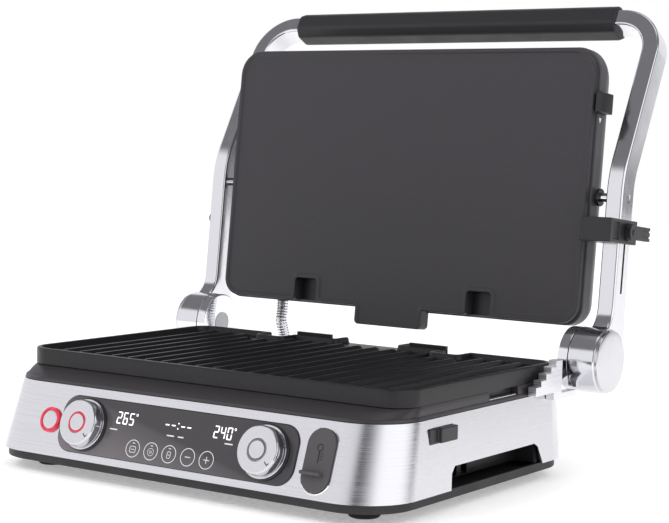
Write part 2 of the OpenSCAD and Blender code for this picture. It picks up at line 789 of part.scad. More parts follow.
// ---------- inlets and conduit ----------

module mains_gland() {
    r = gland_bore / 2;
    color("black") translate([-conduit_x, rear_y, conduit_base_z - 14]) rotate([-90, 0, 0])
        rotate_extrude()
            polygon([[r, -8], [r + 3.8, -8], [r + 3.8, 0.2], [r + 5.5, 0.2], [r + 5.5, 3],
                [r + 2.6, 6], [r + 2.2, 14], [r, 14]]);
}

function conduit_path() = let (
        open = -open_angle,
        ly = cover_y1 + 3 - axis_y,
        lz = conduit_lid_z - axis_z,
        y = axis_y + ly * cos(open) - lz * sin(open),
        z = axis_z + ly * sin(open) + lz * cos(open),
        u = [0, cos(open), sin(open)])
    [[conduit_x, y, z] - 8 * u, [conduit_x, y, z] + 8 * u, [conduit_x, y, z] + 18 * u,
        [conduit_x, y + 3, z - 32], [conduit_x, y + 3, z - 44], [conduit_x, y - 2, z - 56],
        [conduit_x, y - 10, z - 64], [conduit_x, rear_y + 14, conduit_base_z],
        [conduit_x, rear_y + 8, conduit_base_z], [conduit_x, rear_y, conduit_base_z]];

function catmull(p, i, t) = let (
        n = len(p),
        a = p[max(i - 1, 0)], b = p[i], c = p[min(i + 1, n - 1)], d = p[min(i + 2, n - 1)])
    0.5 * (2 * b + (c - a) * t + (2 * a - 5 * b + 4 * c - d) * t * t
        + (3 * b - a - 3 * c + d) * t * t * t);

module tube_along(path, r, sub) {
    m = 12;
    p = [for (i = [0:len(path) - 2], j = [0:sub - 1]) catmull(path, i, j / sub)];
    q = concat(p, [path[len(path) - 1]]);
    n = len(q);
    function dir(i) = let (v = q[min(i + 1, n - 1)] - q[max(i - 1, 0)]) v / norm(v);
    points = [for (i = [0:n - 1]) let (d = dir(i), u = [1, 0, 0], w = cross(d, u))
        each [for (k = [0:m - 1]) q[i] + r * (cos(360 * k / m) * u + sin(360 * k / m) * w)]];
    sides = [for (i = [0:n - 2], k = [0:m - 1])
        [i * m + k, (i + 1) * m + k, (i + 1) * m + (k + 1) % m, i * m + (k + 1) % m]];
    ends = [[for (k = [0:m - 1]) k], [for (k = [m - 1:-1:0]) (n - 1) * m + k]];
    polyhedron(points, concat(sides, ends), convexity = 6);
}

module cable_conduit() {
    color("silver") tube_along(conduit_path(), conduit_d / 2, 3);
}

module conduit_gland() {
    r = conduit_d / 2;
    color("black") translate([conduit_x, rear_y, conduit_base_z]) rotate([-90, 0, 0])
        rotate_extrude()
            polygon([[r + 0.3, -4], [r + 1.8, -4], [r + 1.8, 0.2], [r + 4, 0.2], [r + 4, 2], [r + 2, 5],
                [r + 0.3, 5]]);
}

// ---------- arms and handle, drawn closed ----------

function arc_points(r, a0, a1, n) = [for (i = [0:n]) let (a = a0 + (a1 - a0) * i / n)
    [bend_y + bend_half - r * sin(a), arm_z + bend_r - r * cos(a)]];
function bezier(a, b, c, n) = [for (i = [0:n]) let (t = i / n)
    (1 - t) * (1 - t) * a + 2 * t * (1 - t) * b + t * t * c];

// Points of the closed arm's side view, seen from the bend along the raised front half
function from_bend(points) = [for (p = points) let (y = p[0] - bend_y, z = p[1] - arm_z)
    [y * cos(arm_rise) - z * sin(arm_rise), y * sin(arm_rise) + z * cos(arm_rise)]];

module arm_profile() {
    half = arm_d / 2;
    tip_y = elbow_r - handle_run;
    polygon(concat(from_bend(concat(
        [[axis_y - 15, axis_z + 2]],
        bezier([axis_y - 24.5, axis_z - 4], [axis_y - 31, arm_z - half], [axis_y - 46, arm_z - half], 8),
        arc_points(bend_r + half, 0, arm_rise, 8))),
        [[tip_y, -half], [tip_y, half]],
        from_bend(concat(arc_points(bend_r - half, arm_rise, 0, 8),
        bezier([axis_y - 90, arm_z + half], [axis_y - 50, arm_z + half + 0.4],
            [axis_y - 40, arm_z + half + 1.6], 6),
        bezier([axis_y - 32, arm_z + half + 3], [axis_y - 20, arm_z + half + 4],
            [axis_y - 6, axis_z + barrel_r - 3], 6)))));
}

module arm_blank() {
    difference() {
        union() {
            x_rod(barrel_r, barrel_x0 + knuckle_l + 0.4, barrel_x1 - cap_l, axis_y, axis_z);
            translate([0, bend_y, arm_z]) rotate([-arm_rise, 0, 0]) {
                translate([arm_x0, 0, 0]) rotate([90, 0, 90]) linear_extrude(arm_t) arm_profile();
                translate([elbow_x, elbow_r - handle_run, 0]) {
                    rotate([0, 0, -90]) rotate_extrude(angle = 90)
                        translate([elbow_r - arm_t / 2, -arm_d / 2]) square([arm_t, arm_d]);
                    translate([grip_x - grip_socket - elbow_x, -elbow_r - arm_t / 2, -arm_d / 2])
                        cube([elbow_x - grip_x + grip_socket, arm_t, arm_d]);
                }
            }
        }
        x_rod(pin_r + run_gap, 0, 400, axis_y, axis_z);
        x_rod(cavity_r, cavity_x0, cavity_x1, axis_y, axis_z);
        x_rod(float_pin_r + run_gap, 0, 400, float_y, float_z);
    }
}

module left_arm() {
    color("silver") opened() mirror([1, 0, 0]) difference() {
        arm_blank();
        x_rod(5 + slide_gap, arm_x1 - 8, arm_x1 + 9, flat_y, flat_z);
    }
}

module right_arm() {
    color("silver") opened() difference() {
        arm_blank();
        // guide slot for the height slider's key
        translate([arm_x1 - 4, slider_y - 5, arm_z - 1.6]) cube([8, slot_l, 3.2]);
    }
}

// Satin cap on the outer end of a barrel
module end_cap(side) {
    r = barrel_r - 1.2;
    dome = [for (i = [0:5]) let (t = i / 5) [r * (1 - t), cap_l - 0.8 * (1 - t) * (1 - t) - 0.6 * t]];
    color("gainsboro") opened() mirrored(side) translate([barrel_x1 - cap_l, axis_y, axis_z])
        rotate([0, 90, 0]) rotate_extrude() polygon(concat([[0, 0], [r, 0]], dome));
}

module grip_frame() {
    opened() translate([0, bend_y, arm_z]) rotate([-arm_rise, 0, 0])
        translate([0, -handle_run, 0]) children();
}

module grip() {
    color([0.2, 0.2, 0.21]) grip_frame() difference() {
        translate([-grip_x, 0, 0]) rotate([90, 0, 90]) linear_extrude(2 * grip_x)
            round_rect(grip_w, grip_h, 10);
        for (s = [-1, 1])
            translate([s * (grip_x - grip_socket / 2), 0, 0])
                cube([grip_socket + 0.2, arm_t + 0.2, arm_d + 0.2], center = true);
        x_rod(5.1, -grip_x, grip_x, 0, 0);
    }
}

module grip_core() {
    color("gray") grip_frame() x_tube(5, 3.6, -grip_x + grip_socket, grip_x - grip_socket, 0, 0);
}

module flat_release_button() {
    color([0.12, 0.12, 0.12]) opened() mirror([1, 0, 0]) {
        x_rod(5, arm_x1 - 4.5, arm_x1 + 6.5, flat_y, flat_z);
    }
}

// ---------- height slider ----------

module height_slider() {
    z0 = arm_z - 34.5;
    z1 = arm_z + 15.5;
    color([0.18, 0.18, 0.18]) opened() {
        difference() {
            union() {
                translate([slider_x0, slider_y - slider_l / 2, z0])
                    cube([slider_x1 - slider_x0, slider_l, z1 - z0]);
                x_rod(2.5, slider_x1 - e, lever_x0 + lever_t + 0.6, slider_y, lever_z);
            }
            translate([arm_x0 - slide_gap, slider_y - 20, arm_z - arm_d / 2 - slide_gap])
                cube([arm_t + 2 * slide_gap, 40, arm_d + 2 * slide_gap + 2.4]);
            // finger recess in the outer face
            translate([slider_x1 - 1.2, slider_y - slider_l / 2 + 3, z0 + 5])
                cube([3, slider_l - 6, 12]);
        }
        // key that runs in the arm's slot
        translate([arm_x1 - 3.4, slider_y - 4, arm_z - 1.3]) cube([4.4, 8, 2.6]);
    }
}

module slider_lever() {
    color([0.15, 0.15, 0.15]) opened() difference() {
        union() {
            x_rod(7.5, lever_x0, lever_x0 + lever_t, slider_y, lever_z);
            translate([lever_x0, slider_y - 5.8, lever_z - 3]) cube([lever_t, 11.6, 34]);
        }
        x_rod(2.5 + run_gap, lever_x0 - 1, lever_x0 + lever_t + 1, slider_y, lever_z);
        for (y = [-3.2, 1.6])
            translate([lever_x0 + lever_t - 0.9, slider_y + y, lever_z + 16]) cube([2, 1.6, 16]);
    }
}

// ---------- cover, drawn closed ----------

module cover_form(g, z0, z1, top_in) {
    hull() {
        translate([0, 0, z0]) linear_extrude(e)
            outline(cover_w + 2 * g, cover_y0 - g, cover_y1 + g, front_corner_r, rear_corner_r,
                $fn = fine_n);
        translate([0, 0, z1 - e]) linear_extrude(e)
            outline(cover_w - 2 * top_in + 2 * g, cover_y0 + top_in - g, cover_y1 - top_in * 0.5 + g,
                front_corner_r, rear_corner_r, $fn = fine_n);
    }
}

// Straight wall of the cover, grown by g
module cover_wall(g, z0, z1) {
    translate([0, 0, z0]) linear_extrude(z1 - z0)
        outline(cover_w + 2 * g, cover_y0 - g, cover_y1 + g, front_corner_r, rear_corner_r,
            $fn = fine_n);
}

module cover_shell() {
    mid_z = cover_z1 + crown_h * 0.6;
    mid_in = crown_in * 0.3;
    color([0.3, 0.29, 0.3]) opened() difference() {
        union() {
            cover_wall(0, cover_z0, cover_z1);
            cover_form(0, cover_z1 - e, mid_z, mid_in);
            cover_form(-mid_in, mid_z - e, cover_z1 + crown_h, crown_in - mid_in);
            for (s = [-1, 1]) mirrored(s)
                x_rod(float_pin_r + 4, cover_w / 2 - 8, cover_w / 2 + 1.5, float_y, float_z);
        }
        cover_wall(slide_gap - (cover_w - plate_w) / 2, cover_z0 - 1, cover_frame_z);
        cover_wall(-shell_t, cover_z0 - 1, cover_z1 + e);
        translate([-spout_w / 2 - slide_gap, cover_y1 - 5, cover_z0 - 1])
            cube([spout_w + 2 * slide_gap, 20, cover_frame_z - cover_z0 + 1]);
        cover_form(-shell_t, cover_z1, mid_z - shell_t, mid_in);
        cover_form(-mid_in - shell_t, mid_z - shell_t - e, cover_z1 + crown_h - shell_t,
            crown_in - mid_in);
        for (s = [-1, 1]) mirrored(s)
            x_rod(float_pin_r + 0.02, cover_w / 2 - 12, arm_x0, float_y, float_z);
        // slot in which the conduit moves as the cover floats
        translate([conduit_x, cover_y1 - 14, conduit_lid_z]) rotate([-90, 0, 0])
            cylinder(r = conduit_d / 2 + 0.6, h = 30);
        translate([conduit_x - conduit_d / 2 - 0.6, cover_y1 - 14, cover_frame_z + 4])
            cube([conduit_d + 1.2, 30, conduit_lid_z - cover_frame_z - 4]);
        translate([cover_w / 2 - 4, clip_y - clip_l / 2 - slide_gap, cover_z0 - 2])
            cube([10, clip_l + 2 * slide_gap, cover_wall_h + 5]);
    }
}

// Inner frame that carries the plate and closes the shell
module cover_frame() {
    frame_z = cover_frame_z;
    color([0.13, 0.13, 0.13]) opened() difference() {
        translate([0, 0, frame_z]) linear_extrude(4)
            outline(cover_w - 2 * shell_t - 0.6, cover_y0 + shell_t + 0.3, cover_y1 - shell_t - 0.3,
                front_corner_r, rear_corner_r);
        translate([0, 0, frame_z - 1]) linear_extrude(6)
            outline(plate_w - 22, plate_y0 + 11, plate_y1 - 23, 12, 12);
        translate([cover_w / 2 - 9, clip_y - clip_l / 2 - 1, frame_z - 1]) cube([10, clip_l + 2, 6]);
        for (sx = [-1, 1], y = [plate_y0 + 7, plate_y1 - 11])
            translate([sx * (plate_w / 2 - 45), y, frame_z - 1]) cylinder(r = 1.6, h = 6);
        for (s = [-1, 1]) mirrored(s)
            x_rod(float_pin_r + 5, cover_w / 2 - 8.5, cover_w, float_y, float_z);
    }
}

module cover_pins() {
    color("whitesmoke") opened() for (s = [-1, 1]) mirrored(s) {
        x_rod(float_pin_r, cover_w / 2 - 8, arm_x1 - 0.5, float_y, float_z);
        x_rod(float_pin_r + 3.5, cover_w / 2 + 1.7, arm_x0 - 2.5, float_y, float_z);
    }
}

module cover_screws() {
    color("silver") opened() for (sx = [-1, 1], y = [plate_y0 + 7, plate_y1 - 11])
        translate([sx * (plate_w / 2 - 45), y, cover_frame_z - 1.8]) {
            cylinder(r = 3, h = 1.8);
            translate([0, 0, 1.8 - e]) cylinder(r = 1.5, h = 5);
        }
}

module upper_release_clip() {
    z0 = upper_rim_z + 1;
    color([0.16, 0.16, 0.16]) opened() {
        translate([cover_w / 2 + 0.4, clip_y - clip_l / 2, z0]) cube([clip_x1 - cover_w / 2 - 0.4, clip_l, 22]);
        translate([cover_w / 2 - 1.1, clip_y - clip_l / 2, cover_z0 + 6])
            cube([3, clip_l, 7]);
    }
}

steel_band();
bottom_pan();
collar();
rubber_feet();
base_screws();
lower_plate();
lower_element();
lower_reflector();
lower_sensor();
control_panel();
display_module();
control_board();
power_board();
power_light_ring();
power_button();
bezel(knob_left_x);  // left_bezel
knob(knob_left_x);  // left_knob
light_ring(knob_left_x, ring_r, start_r + run_gap, -2, knob_z1 - 0.4);  // left_light_ring
start_button(knob_left_x);  // left_start_button
encoder(knob_left_x);  // left_encoder
bezel(knob_right_x);  // right_bezel
knob(knob_right_x);  // right_knob
light_ring(knob_right_x, ring_r, start_r + run_gap, -2, knob_z1 - 0.4);  // right_light_ring
start_button(knob_right_x);  // right_start_button
encoder(knob_right_x);  // right_encoder
probe_socket();
socket_cover();
grip_liner(-1);  // left_grip_liner
grip_liner(1);  // right_grip_liner
lower_release_button();
lower_latch();
drip_tray();
hinge_bracket(-1);  // left_hinge_bracket
hinge_bracket(1);  // right_hinge_bracket
hinge_pins();
hinge_springs();
height_rack();
mains_gland();
conduit_gland();
cable_conduit();
left_arm();
right_arm();
end_cap(-1);  // left_end_cap
end_cap(1);  // right_end_cap
grip();
grip_core();
flat_release_button();
height_slider();
slider_lever();
cover_shell();
cover_frame();
cover_pins();
cover_screws();
upper_plate();
upper_element();
upper_reflector();
upper_sensor();
upper_release_clip();
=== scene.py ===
"""Panini press: leaning control panel, ribbed lower plate, floating lid on two arms."""

import json
import logging
import math
from dataclasses import dataclass, field
from enum import Enum
from typing import Any, Sequence

import bmesh
import bpy
from mathutils import Matrix, Vector

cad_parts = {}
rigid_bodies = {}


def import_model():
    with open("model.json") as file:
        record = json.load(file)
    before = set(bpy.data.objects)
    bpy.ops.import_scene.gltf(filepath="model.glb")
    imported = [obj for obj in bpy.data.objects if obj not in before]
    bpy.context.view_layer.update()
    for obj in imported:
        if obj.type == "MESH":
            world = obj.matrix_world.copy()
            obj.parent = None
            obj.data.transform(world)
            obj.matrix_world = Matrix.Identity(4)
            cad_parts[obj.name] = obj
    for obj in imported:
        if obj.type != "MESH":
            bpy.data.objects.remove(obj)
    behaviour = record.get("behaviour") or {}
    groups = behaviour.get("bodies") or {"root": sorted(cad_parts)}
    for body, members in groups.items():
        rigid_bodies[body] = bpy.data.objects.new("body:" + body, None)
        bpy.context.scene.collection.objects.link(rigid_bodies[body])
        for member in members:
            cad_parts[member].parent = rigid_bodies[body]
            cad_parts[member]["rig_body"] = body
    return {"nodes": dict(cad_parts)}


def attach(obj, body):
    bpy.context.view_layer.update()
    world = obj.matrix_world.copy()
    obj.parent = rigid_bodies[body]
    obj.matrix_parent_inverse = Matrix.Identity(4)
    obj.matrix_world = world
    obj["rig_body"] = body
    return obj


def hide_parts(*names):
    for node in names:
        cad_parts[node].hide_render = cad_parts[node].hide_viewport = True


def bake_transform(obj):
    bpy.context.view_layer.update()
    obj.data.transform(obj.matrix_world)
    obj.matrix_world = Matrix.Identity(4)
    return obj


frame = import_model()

log = logging.getLogger("panini_press")

MM = 0.001
LEAN = math.atan(19 / 54.2)
RISE = math.radians(22.3)
AXIS = Vector((0.0, 150.4, 93.45))
BEND = Vector((0.0, -1.0, 111.75))
HANDLE_RUN = 149.8
PANEL_MID = 54.2 / math.cos(LEAN) / 2 - 0.6
REST = Matrix.Identity(4)
OPENED = (
    Matrix.Translation(AXIS)
    @ Matrix.Rotation(math.radians(-95.8), 4, "X")
    @ Matrix.Translation(-AXIS)
)
HANDLE = (
    OPENED
    @ Matrix.Translation(BEND)
    @ Matrix.Rotation(-RISE, 4, "X")
    @ Matrix.Translation((0, -HANDLE_RUN, 0))
)

Loop = list[Vector]


class Side(Enum):
    """Which side of the press a piece is on, as the sign of its X."""

    LEFT = -1
    RIGHT = 1


class Body(str, Enum):
    """The bodies of the frame that pieces made here ride on."""

    BASE = "base"
    LOWER_PLATE = "lower_plate"
    DRIP_TRAY = "drip_tray"
    SOCKET_COVER = "socket_cover"
    POWER_BUTTON = "power_button"
    LEFT_KNOB = "left_knob"
    RIGHT_KNOB = "right_knob"
    LEFT_START = "left_start_button"
    RIGHT_START = "right_start_button"
    ARMS = "arms"
    COVER = "cover"
    UPPER_PLATE = "upper_plate"


def on_front(x: float, s: float = PANEL_MID) -> Matrix:
    """Place on the leaning front, with +Z outwards and +Y up the slope.

    Args:
        x: distance across the front in mm.
        s: distance up the slope from the band's bottom edge in mm.

    Returns:
        The matrix of that place, in mm.
    """
    at = Vector((x, -147.5 + s * math.sin(LEAN), 16 + s * math.cos(LEAN)))
    return Matrix.Translation(at) @ Matrix.Rotation(math.pi / 2 - LEAN, 4, "X")


def along_x(x: float, y: float, z: float, flip: bool = False) -> Matrix:
    """Place whose +Z points along X, or along -X when flipped.

    Args:
        x: position in mm.
        y: position in mm.
        z: position in mm.
        flip: points the place the other way.

    Returns:
        The matrix of that place, in mm.
    """
    turn = math.radians(-90 if flip else 90)
    return Matrix.Translation((x, y, z)) @ Matrix.Rotation(turn, 4, "Y")


# ---------- colour and nodes ----------


def linear(code: str) -> tuple[float, float, float, float]:
    """Linear colour of an sRGB hex code.

    Args:
        code: six hex digits, with or without the hash.

    Returns:
        Linear red, green, blue and an alpha of one.
    """
    code = code.lstrip("#")
    parts = [int(code[i : i + 2], 16) / 255 for i in (0, 2, 4)]
    red, green, blue = (
        c / 12.92 if c <= 0.04045 else ((c + 0.055) / 1.055) ** 2.4 for c in parts
    )
    return red, green, blue, 1.0


def add(
    tree: bpy.types.NodeTree,
    kind: str,
    settings: dict[str, Any] | None = None,
    **inputs: Any,
) -> bpy.types.Node:
    """Adds one shader node with its settings, values and links.

    Args:
        tree: the tree that gets the node.
        kind: the node's type name.
        settings: properties of the node itself.
        inputs: socket names, with underscores for spaces, and a value or a
            socket to link from. `in_0` names a socket by number.

    Returns:
        The new node.
    """
    node = tree.nodes.new(kind)
    for name, value in (settings or {}).items():
        setattr(node, name, value)
    for name, value in inputs.items():
        key = int(name[3:]) if name.startswith("in_") else name.replace("_", " ")
        if isinstance(value, bpy.types.NodeSocket):
            tree.links.new(value, node.inputs[key])
        else:
            node.inputs[key].default_value = value
    return node


def ramp(
    tree: bpy.types.NodeTree,
    factor: bpy.types.NodeSocket,
    stops: Sequence[tuple[float, tuple[float, float, float, float]]],
) -> bpy.types.NodeSocket:
    """Adds a colour ramp.

    Args:
        tree: the tree that gets the node.
        factor: what drives the ramp.
        stops: position and colour of each stop.

    Returns:
        The ramp's colour socket.
    """
    node = add(tree, "ShaderNodeValToRGB", Fac=factor)
    elements = node.color_ramp.elements
    while len(elements) < len(stops):
        elements.new(1.0)
    for element, (position, colour) in zip(elements, stops):
        element.position = position
        element.color = colour
    return node.outputs["Color"]


@dataclass(frozen=True)
class Finish:
    """A surface finish; each kind builds its own node tree on a plain shader."""

    name: str
    colour: str
    roughness: float = 0.5

    def detail(self, tree: bpy.types.NodeTree, shader: bpy.types.Node) -> None:
        """Adds the finish's own nodes.

        Args:
            tree: the material's tree.
            shader: its principled shader.
        """

    def material(self) -> bpy.types.Material:
        """The material of this finish, made once.

        Returns:
            The material.
        """
        found = bpy.data.materials.get(self.name)
        if found:
            return found
        made = bpy.data.materials.new(self.name)
        made.use_nodes = True
        tree = made.node_tree
        tree.nodes.clear()
        shader = add(tree, "ShaderNodeBsdfPrincipled")
        shader.inputs["Base Color"].default_value = linear(self.colour)
        shader.inputs["Roughness"].default_value = self.roughness
        self.detail(tree, shader)
        add(tree, "ShaderNodeOutputMaterial", Surface=shader.outputs["BSDF"])
        return made

    def noise(
        self,
        tree: bpy.types.NodeTree,
        cell: tuple[float, float, float],
        octaves: float = 2.0,
    ) -> bpy.types.NodeSocket:
        """Noise fixed to the piece, with its cell size given in mm.

        Args:
            tree: the material's tree.
            cell: size of a noise cell along X, Y and Z in mm.
            octaves: detail of the noise.

        Returns:
            The noise value socket.
        """
        place = add(tree, "ShaderNodeTexCoord")
        scale = tuple(1 / (c * MM) for c in cell)
        mapped = add(
            tree, "ShaderNodeMapping", Vector=place.outputs["Object"], Scale=scale
        )
        node = add(
            tree, "ShaderNodeTexNoise", Vector=mapped.outputs[0], Scale=1.0, Detail=octaves
        )
        return node.outputs["Fac"]

    def rough(
        self,
        tree: bpy.types.NodeTree,
        shader: bpy.types.Node,
        value: bpy.types.NodeSocket,
        spread: float,
    ) -> None:
        """Varies the roughness with a noise value.

        Args:
            tree: the material's tree.
            shader: its principled shader.
            value: the noise value.
            spread: how far the roughness moves each way.
        """
        span = add(
            tree,
            "ShaderNodeMapRange",
            Value=value,
            From_Min=0.3,
            From_Max=0.7,
            To_Min=max(self.roughness - spread, 0.02),
            To_Max=self.roughness + spread,
        )
        tree.links.new(span.outputs["Result"], shader.inputs["Roughness"])

    def bump(
        self,
        tree: bpy.types.NodeTree,
        shader: bpy.types.Node,
        height: bpy.types.NodeSocket,
        depth: float,
        strength: float = 1.0,
    ) -> None:
        """Raises the surface by a noise value.

        Args:
            tree: the material's tree.
            shader: its principled shader.
            height: the height value.
            depth: height of the relief in mm.
            strength: how much of the relief shows.
        """
        node = add(
            tree, "ShaderNodeBump", Height=height, Distance=depth * MM, Strength=strength
        )
        tree.links.new(node.outputs["Normal"], shader.inputs["Normal"])


@dataclass(frozen=True)
class BrushedMetal(Finish):
    """Metal brushed in one direction: long faint scratches that stretch the light."""

    cell: tuple[float, float, float] = (60.0, 60.0, 0.9)
    depth: float = 0.006

    def detail(self, tree: bpy.types.NodeTree, shader: bpy.types.Node) -> None:
        """Adds the scratches to the roughness, the tone and the relief."""
        shader.inputs["Metallic"].default_value = 1.0
        # real scratches are about 0.05 mm apart; they are drawn coarser so they can be seen
        scratches = self.noise(tree, self.cell, 3.0)
        tone = add(
            tree,
            "ShaderNodeMix",
            {"data_type": "RGBA", "blend_type": "MULTIPLY"},
            Factor=1.0,
            in_6=linear(self.colour),
            in_7=ramp(
                tree, scratches, [(0.3, (0.9, 0.9, 0.9, 1)), (0.7, (1, 1, 1, 1))]
            ),
        )
        tree.links.new(tone.outputs[2], shader.inputs["Base Color"])
        self.rough(tree, shader, scratches, 0.05)
        self.bump(tree, shader, scratches, self.depth)


@dataclass(frozen=True)
class SatinMetal(Finish):
    """Cast or drawn metal, tumbled smooth: a soft, slightly cloudy mirror."""

    cell: float = 6.0
    depth: float = 0.01

    def detail(self, tree: bpy.types.NodeTree, shader: bpy.types.Node) -> None:
        """Adds cloudy roughness and a slow ripple."""
        shader.inputs["Metallic"].default_value = 1.0
        clouds = self.noise(tree, (self.cell,) * 3, 3.0)
        self.rough(tree, shader, clouds, 0.04)
        self.bump(tree, shader, clouds, self.depth)


@dataclass(frozen=True)
class SpunMetal(Finish):
    """Metal turned on a lathe: fine rings round the piece's own axis."""

    pitch: float = 0.7

    def detail(self, tree: bpy.types.NodeTree, shader: bpy.types.Node) -> None:
        """Adds the turning rings to the relief and the roughness."""
        shader.inputs["Metallic"].default_value = 1.0
        place = add(tree, "ShaderNodeTexCoord")
        parts = add(tree, "ShaderNodeSeparateXYZ", Vector=place.outputs["Object"])
        flat = add(tree, "ShaderNodeCombineXYZ", X=parts.outputs["X"], Y=parts.outputs["Y"])
        radius = add(
            tree,
            "ShaderNodeVectorMath",
            {"operation": "LENGTH"},
            in_0=flat.outputs["Vector"],
        )
        rings = add(
            tree,
            "ShaderNodeTexNoise",
            {"noise_dimensions": "1D"},
            W=radius.outputs["Value"],
            Scale=1 / (self.pitch * MM),
            Detail=2.0,
        )
        self.rough(tree, shader, rings.outputs["Fac"], 0.08)
        self.bump(tree, shader, rings.outputs["Fac"], 0.012)


@dataclass(frozen=True)
class Moulded(Finish):
    """Moulded plastic or rubber: a fine spark-eroded grain that breaks up the sheen."""

    cell: float = 1.1
    depth: float = 0.02
    coat: float = 0.0

    def detail(self, tree: bpy.types.NodeTree, shader: bpy.types.Node) -> None:
        """Adds the mould grain, a slow unevenness and any clear coat."""
        shader.inputs["IOR"].default_value = 1.49
        shader.inputs["Coat Weight"].default_value = self.coat
        # the true grain is about 0.3 mm; it is drawn coarser so it can be seen
        grain = self.noise(tree, (self.cell,) * 3, 3.0)
        slow = self.noise(tree, (28.0,) * 3, 1.0)
        self.rough(tree, shader, slow, 0.05)
        self.bump(tree, shader, grain, self.depth)


@dataclass(frozen=True)
class Coating(Finish):
    """Sprayed non-stick coating on cast aluminium: dark, satin, with light flecks."""

    fleck: str = "#6A686C"
    depth: float = 0.02

    def detail(self, tree: bpy.types.NodeTree, shader: bpy.types.Node) -> None:
        """Adds the sprayed texture and the mica flecks."""
        shader.inputs["IOR"].default_value = 1.38
        spray = self.noise(tree, (1.4,) * 3, 3.0)
        flecks = self.noise(tree, (0.8,) * 3, 0.0)
        colour = ramp(
            tree, flecks, [(0.66, linear(self.colour)), (0.76, linear(self.fleck))]
        )
        tree.links.new(colour, shader.inputs["Base Color"])
        self.rough(tree, shader, spray, 0.06)
        self.bump(tree, shader, spray, self.depth)


@dataclass(frozen=True)
class Overlay(Finish):
    """Panel film under a clear face: grey, with a painted reflection that pales toward its lower
    left.
    """

    pale: str = "#8A8589"
    step: str = "#4A474B"

    def detail(self, tree: bpy.types.NodeTree, shader: bpy.types.Node) -> None:
        """Adds a painted reflection that fades across the film, with a crisp step, and a faint film
        texture.
        """
        shader.inputs["IOR"].default_value = 1.5
        shader.inputs["Metallic"].default_value = 0.1
        place = add(tree, "ShaderNodeTexCoord")
        parts = add(tree, "ShaderNodeSeparateXYZ", Vector=place.outputs["Object"])
        # painted reflection: a mask that grows toward the panel's left and toward its bottom
        across = add(
            tree,
            "ShaderNodeMapRange",
            Value=parts.outputs["X"],
            From_Min=-0.12,
            From_Max=0.10,
            To_Min=0.62,
            To_Max=0.0,
        )
        down = add(
            tree,
            "ShaderNodeMapRange",
            Value=parts.outputs["Z"],
            From_Min=0.02,
            From_Max=0.062,
            To_Min=0.5,
            To_Max=0.0,
        )
        painted_reflection_mask = add(
            tree,
            "ShaderNodeMath",
            {"operation": "ADD"},
            in_0=across.outputs["Result"],
            in_1=down.outputs["Result"],
        )
        # painted reflection: plain grey steps at a crisp edge to a paler grey toward the lower left
        colour = ramp(
            tree,
            painted_reflection_mask.outputs["Value"],
            [
                (0.0, linear(self.colour)),
                (0.50, linear(self.colour)),
                (0.54, linear(self.step)),
                (1.0, linear(self.pale)),
            ],
        )
        tree.links.new(colour, shader.inputs["Base Color"])
        film = self.noise(tree, (1.6,) * 3, 2.0)
        self.rough(tree, shader, film, 0.04)
        self.bump(tree, shader, film, 0.004)


@dataclass(frozen=True)
class Lit(Finish):
    """Translucent plastic lit from behind: bright where the lamps sit, dimmer between."""

    glow: str = "#F06A86"
    power: float = 0.5

    def detail(self, tree: bpy.types.NodeTree, shader: bpy.types.Node) -> None:
        """Adds the uneven glow of the lamps behind the diffuser."""
        clouds = self.noise(tree, (3.5,) * 3, 1.0)
        glow = ramp(
            tree, clouds, [(0.35, linear(self.colour)), (0.65, linear(self.glow))]
        )
        tree.links.new(glow, shader.inputs["Emission Color"])
        shader.inputs["Emission Strength"].default_value = self.power
        self.rough(tree, shader, clouds, 0.05)


STEEL = BrushedMetal("brushed stainless steel", "#E2E2E6", 0.24)
RACK_STEEL = BrushedMetal("brushed steel rack", "#F0F0F3", 0.3, cell=(30.0, 30.0, 1.2))
POLISHED = SatinMetal("polished chrome plate", "#ECECF0", 0.07, cell=9.0, depth=0.004)
SATIN = SatinMetal("satin nickel plate", "#DADADE", 0.22, depth=0.006)
ARM_METAL = SatinMetal("polished cast aluminium", "#E4E4E8", 0.13, cell=14.0, depth=0.01)
SPUN = SpunMetal("spun aluminium", "#DCDCE0", 0.26)
KNOB_SIDE = SatinMetal("turned chrome edge", "#D6D6DA", 0.1, cell=5.0, depth=0.003)
BRASS = SatinMetal("nickel brass", "#B99A55", 0.3)
ZINC = SatinMetal("zinc plated steel", "#B9BBBE", 0.34, cell=2.0, depth=0.02)
SPRING = SatinMetal("spring steel wire", "#8D8F93", 0.3, cell=2.0)
SHEATH = SatinMetal("sheathed element steel", "#6C6A66", 0.42, cell=3.0, depth=0.03)
REFLECTOR = BrushedMetal("aluminised reflector steel", "#C9CACD", 0.22, cell=(40, 1.2, 40))
NONSTICK = Coating("non-stick coating", "#1C1A1D", 0.36, fleck="#2C2A2E", depth=0.012)
UPPER_COAT = Coating("satin non-stick coating", "#363438", 0.4, fleck="#3E3C40", depth=0.008)
COLLAR = Moulded("moulded black collar", "#343135", 0.36)
BLACK = Moulded("moulded black plastic", "#1E1D20", 0.36)
GRIP = Moulded("soft-touch grip plastic", "#252327", 0.5, cell=1.6, depth=0.03)
LID = Moulded("moulded grey lid plastic", "#48464A", 0.42)
PAN = Moulded("glass-filled nylon pan", "#222124", 0.55, cell=2.0, depth=0.04)
RUBBER = Moulded("black rubber", "#1C1C1D", 0.7, cell=1.6, depth=0.05)
FLAP = Moulded("dark grey rubber flap", "#4A474A", 0.6, cell=1.5, depth=0.04)
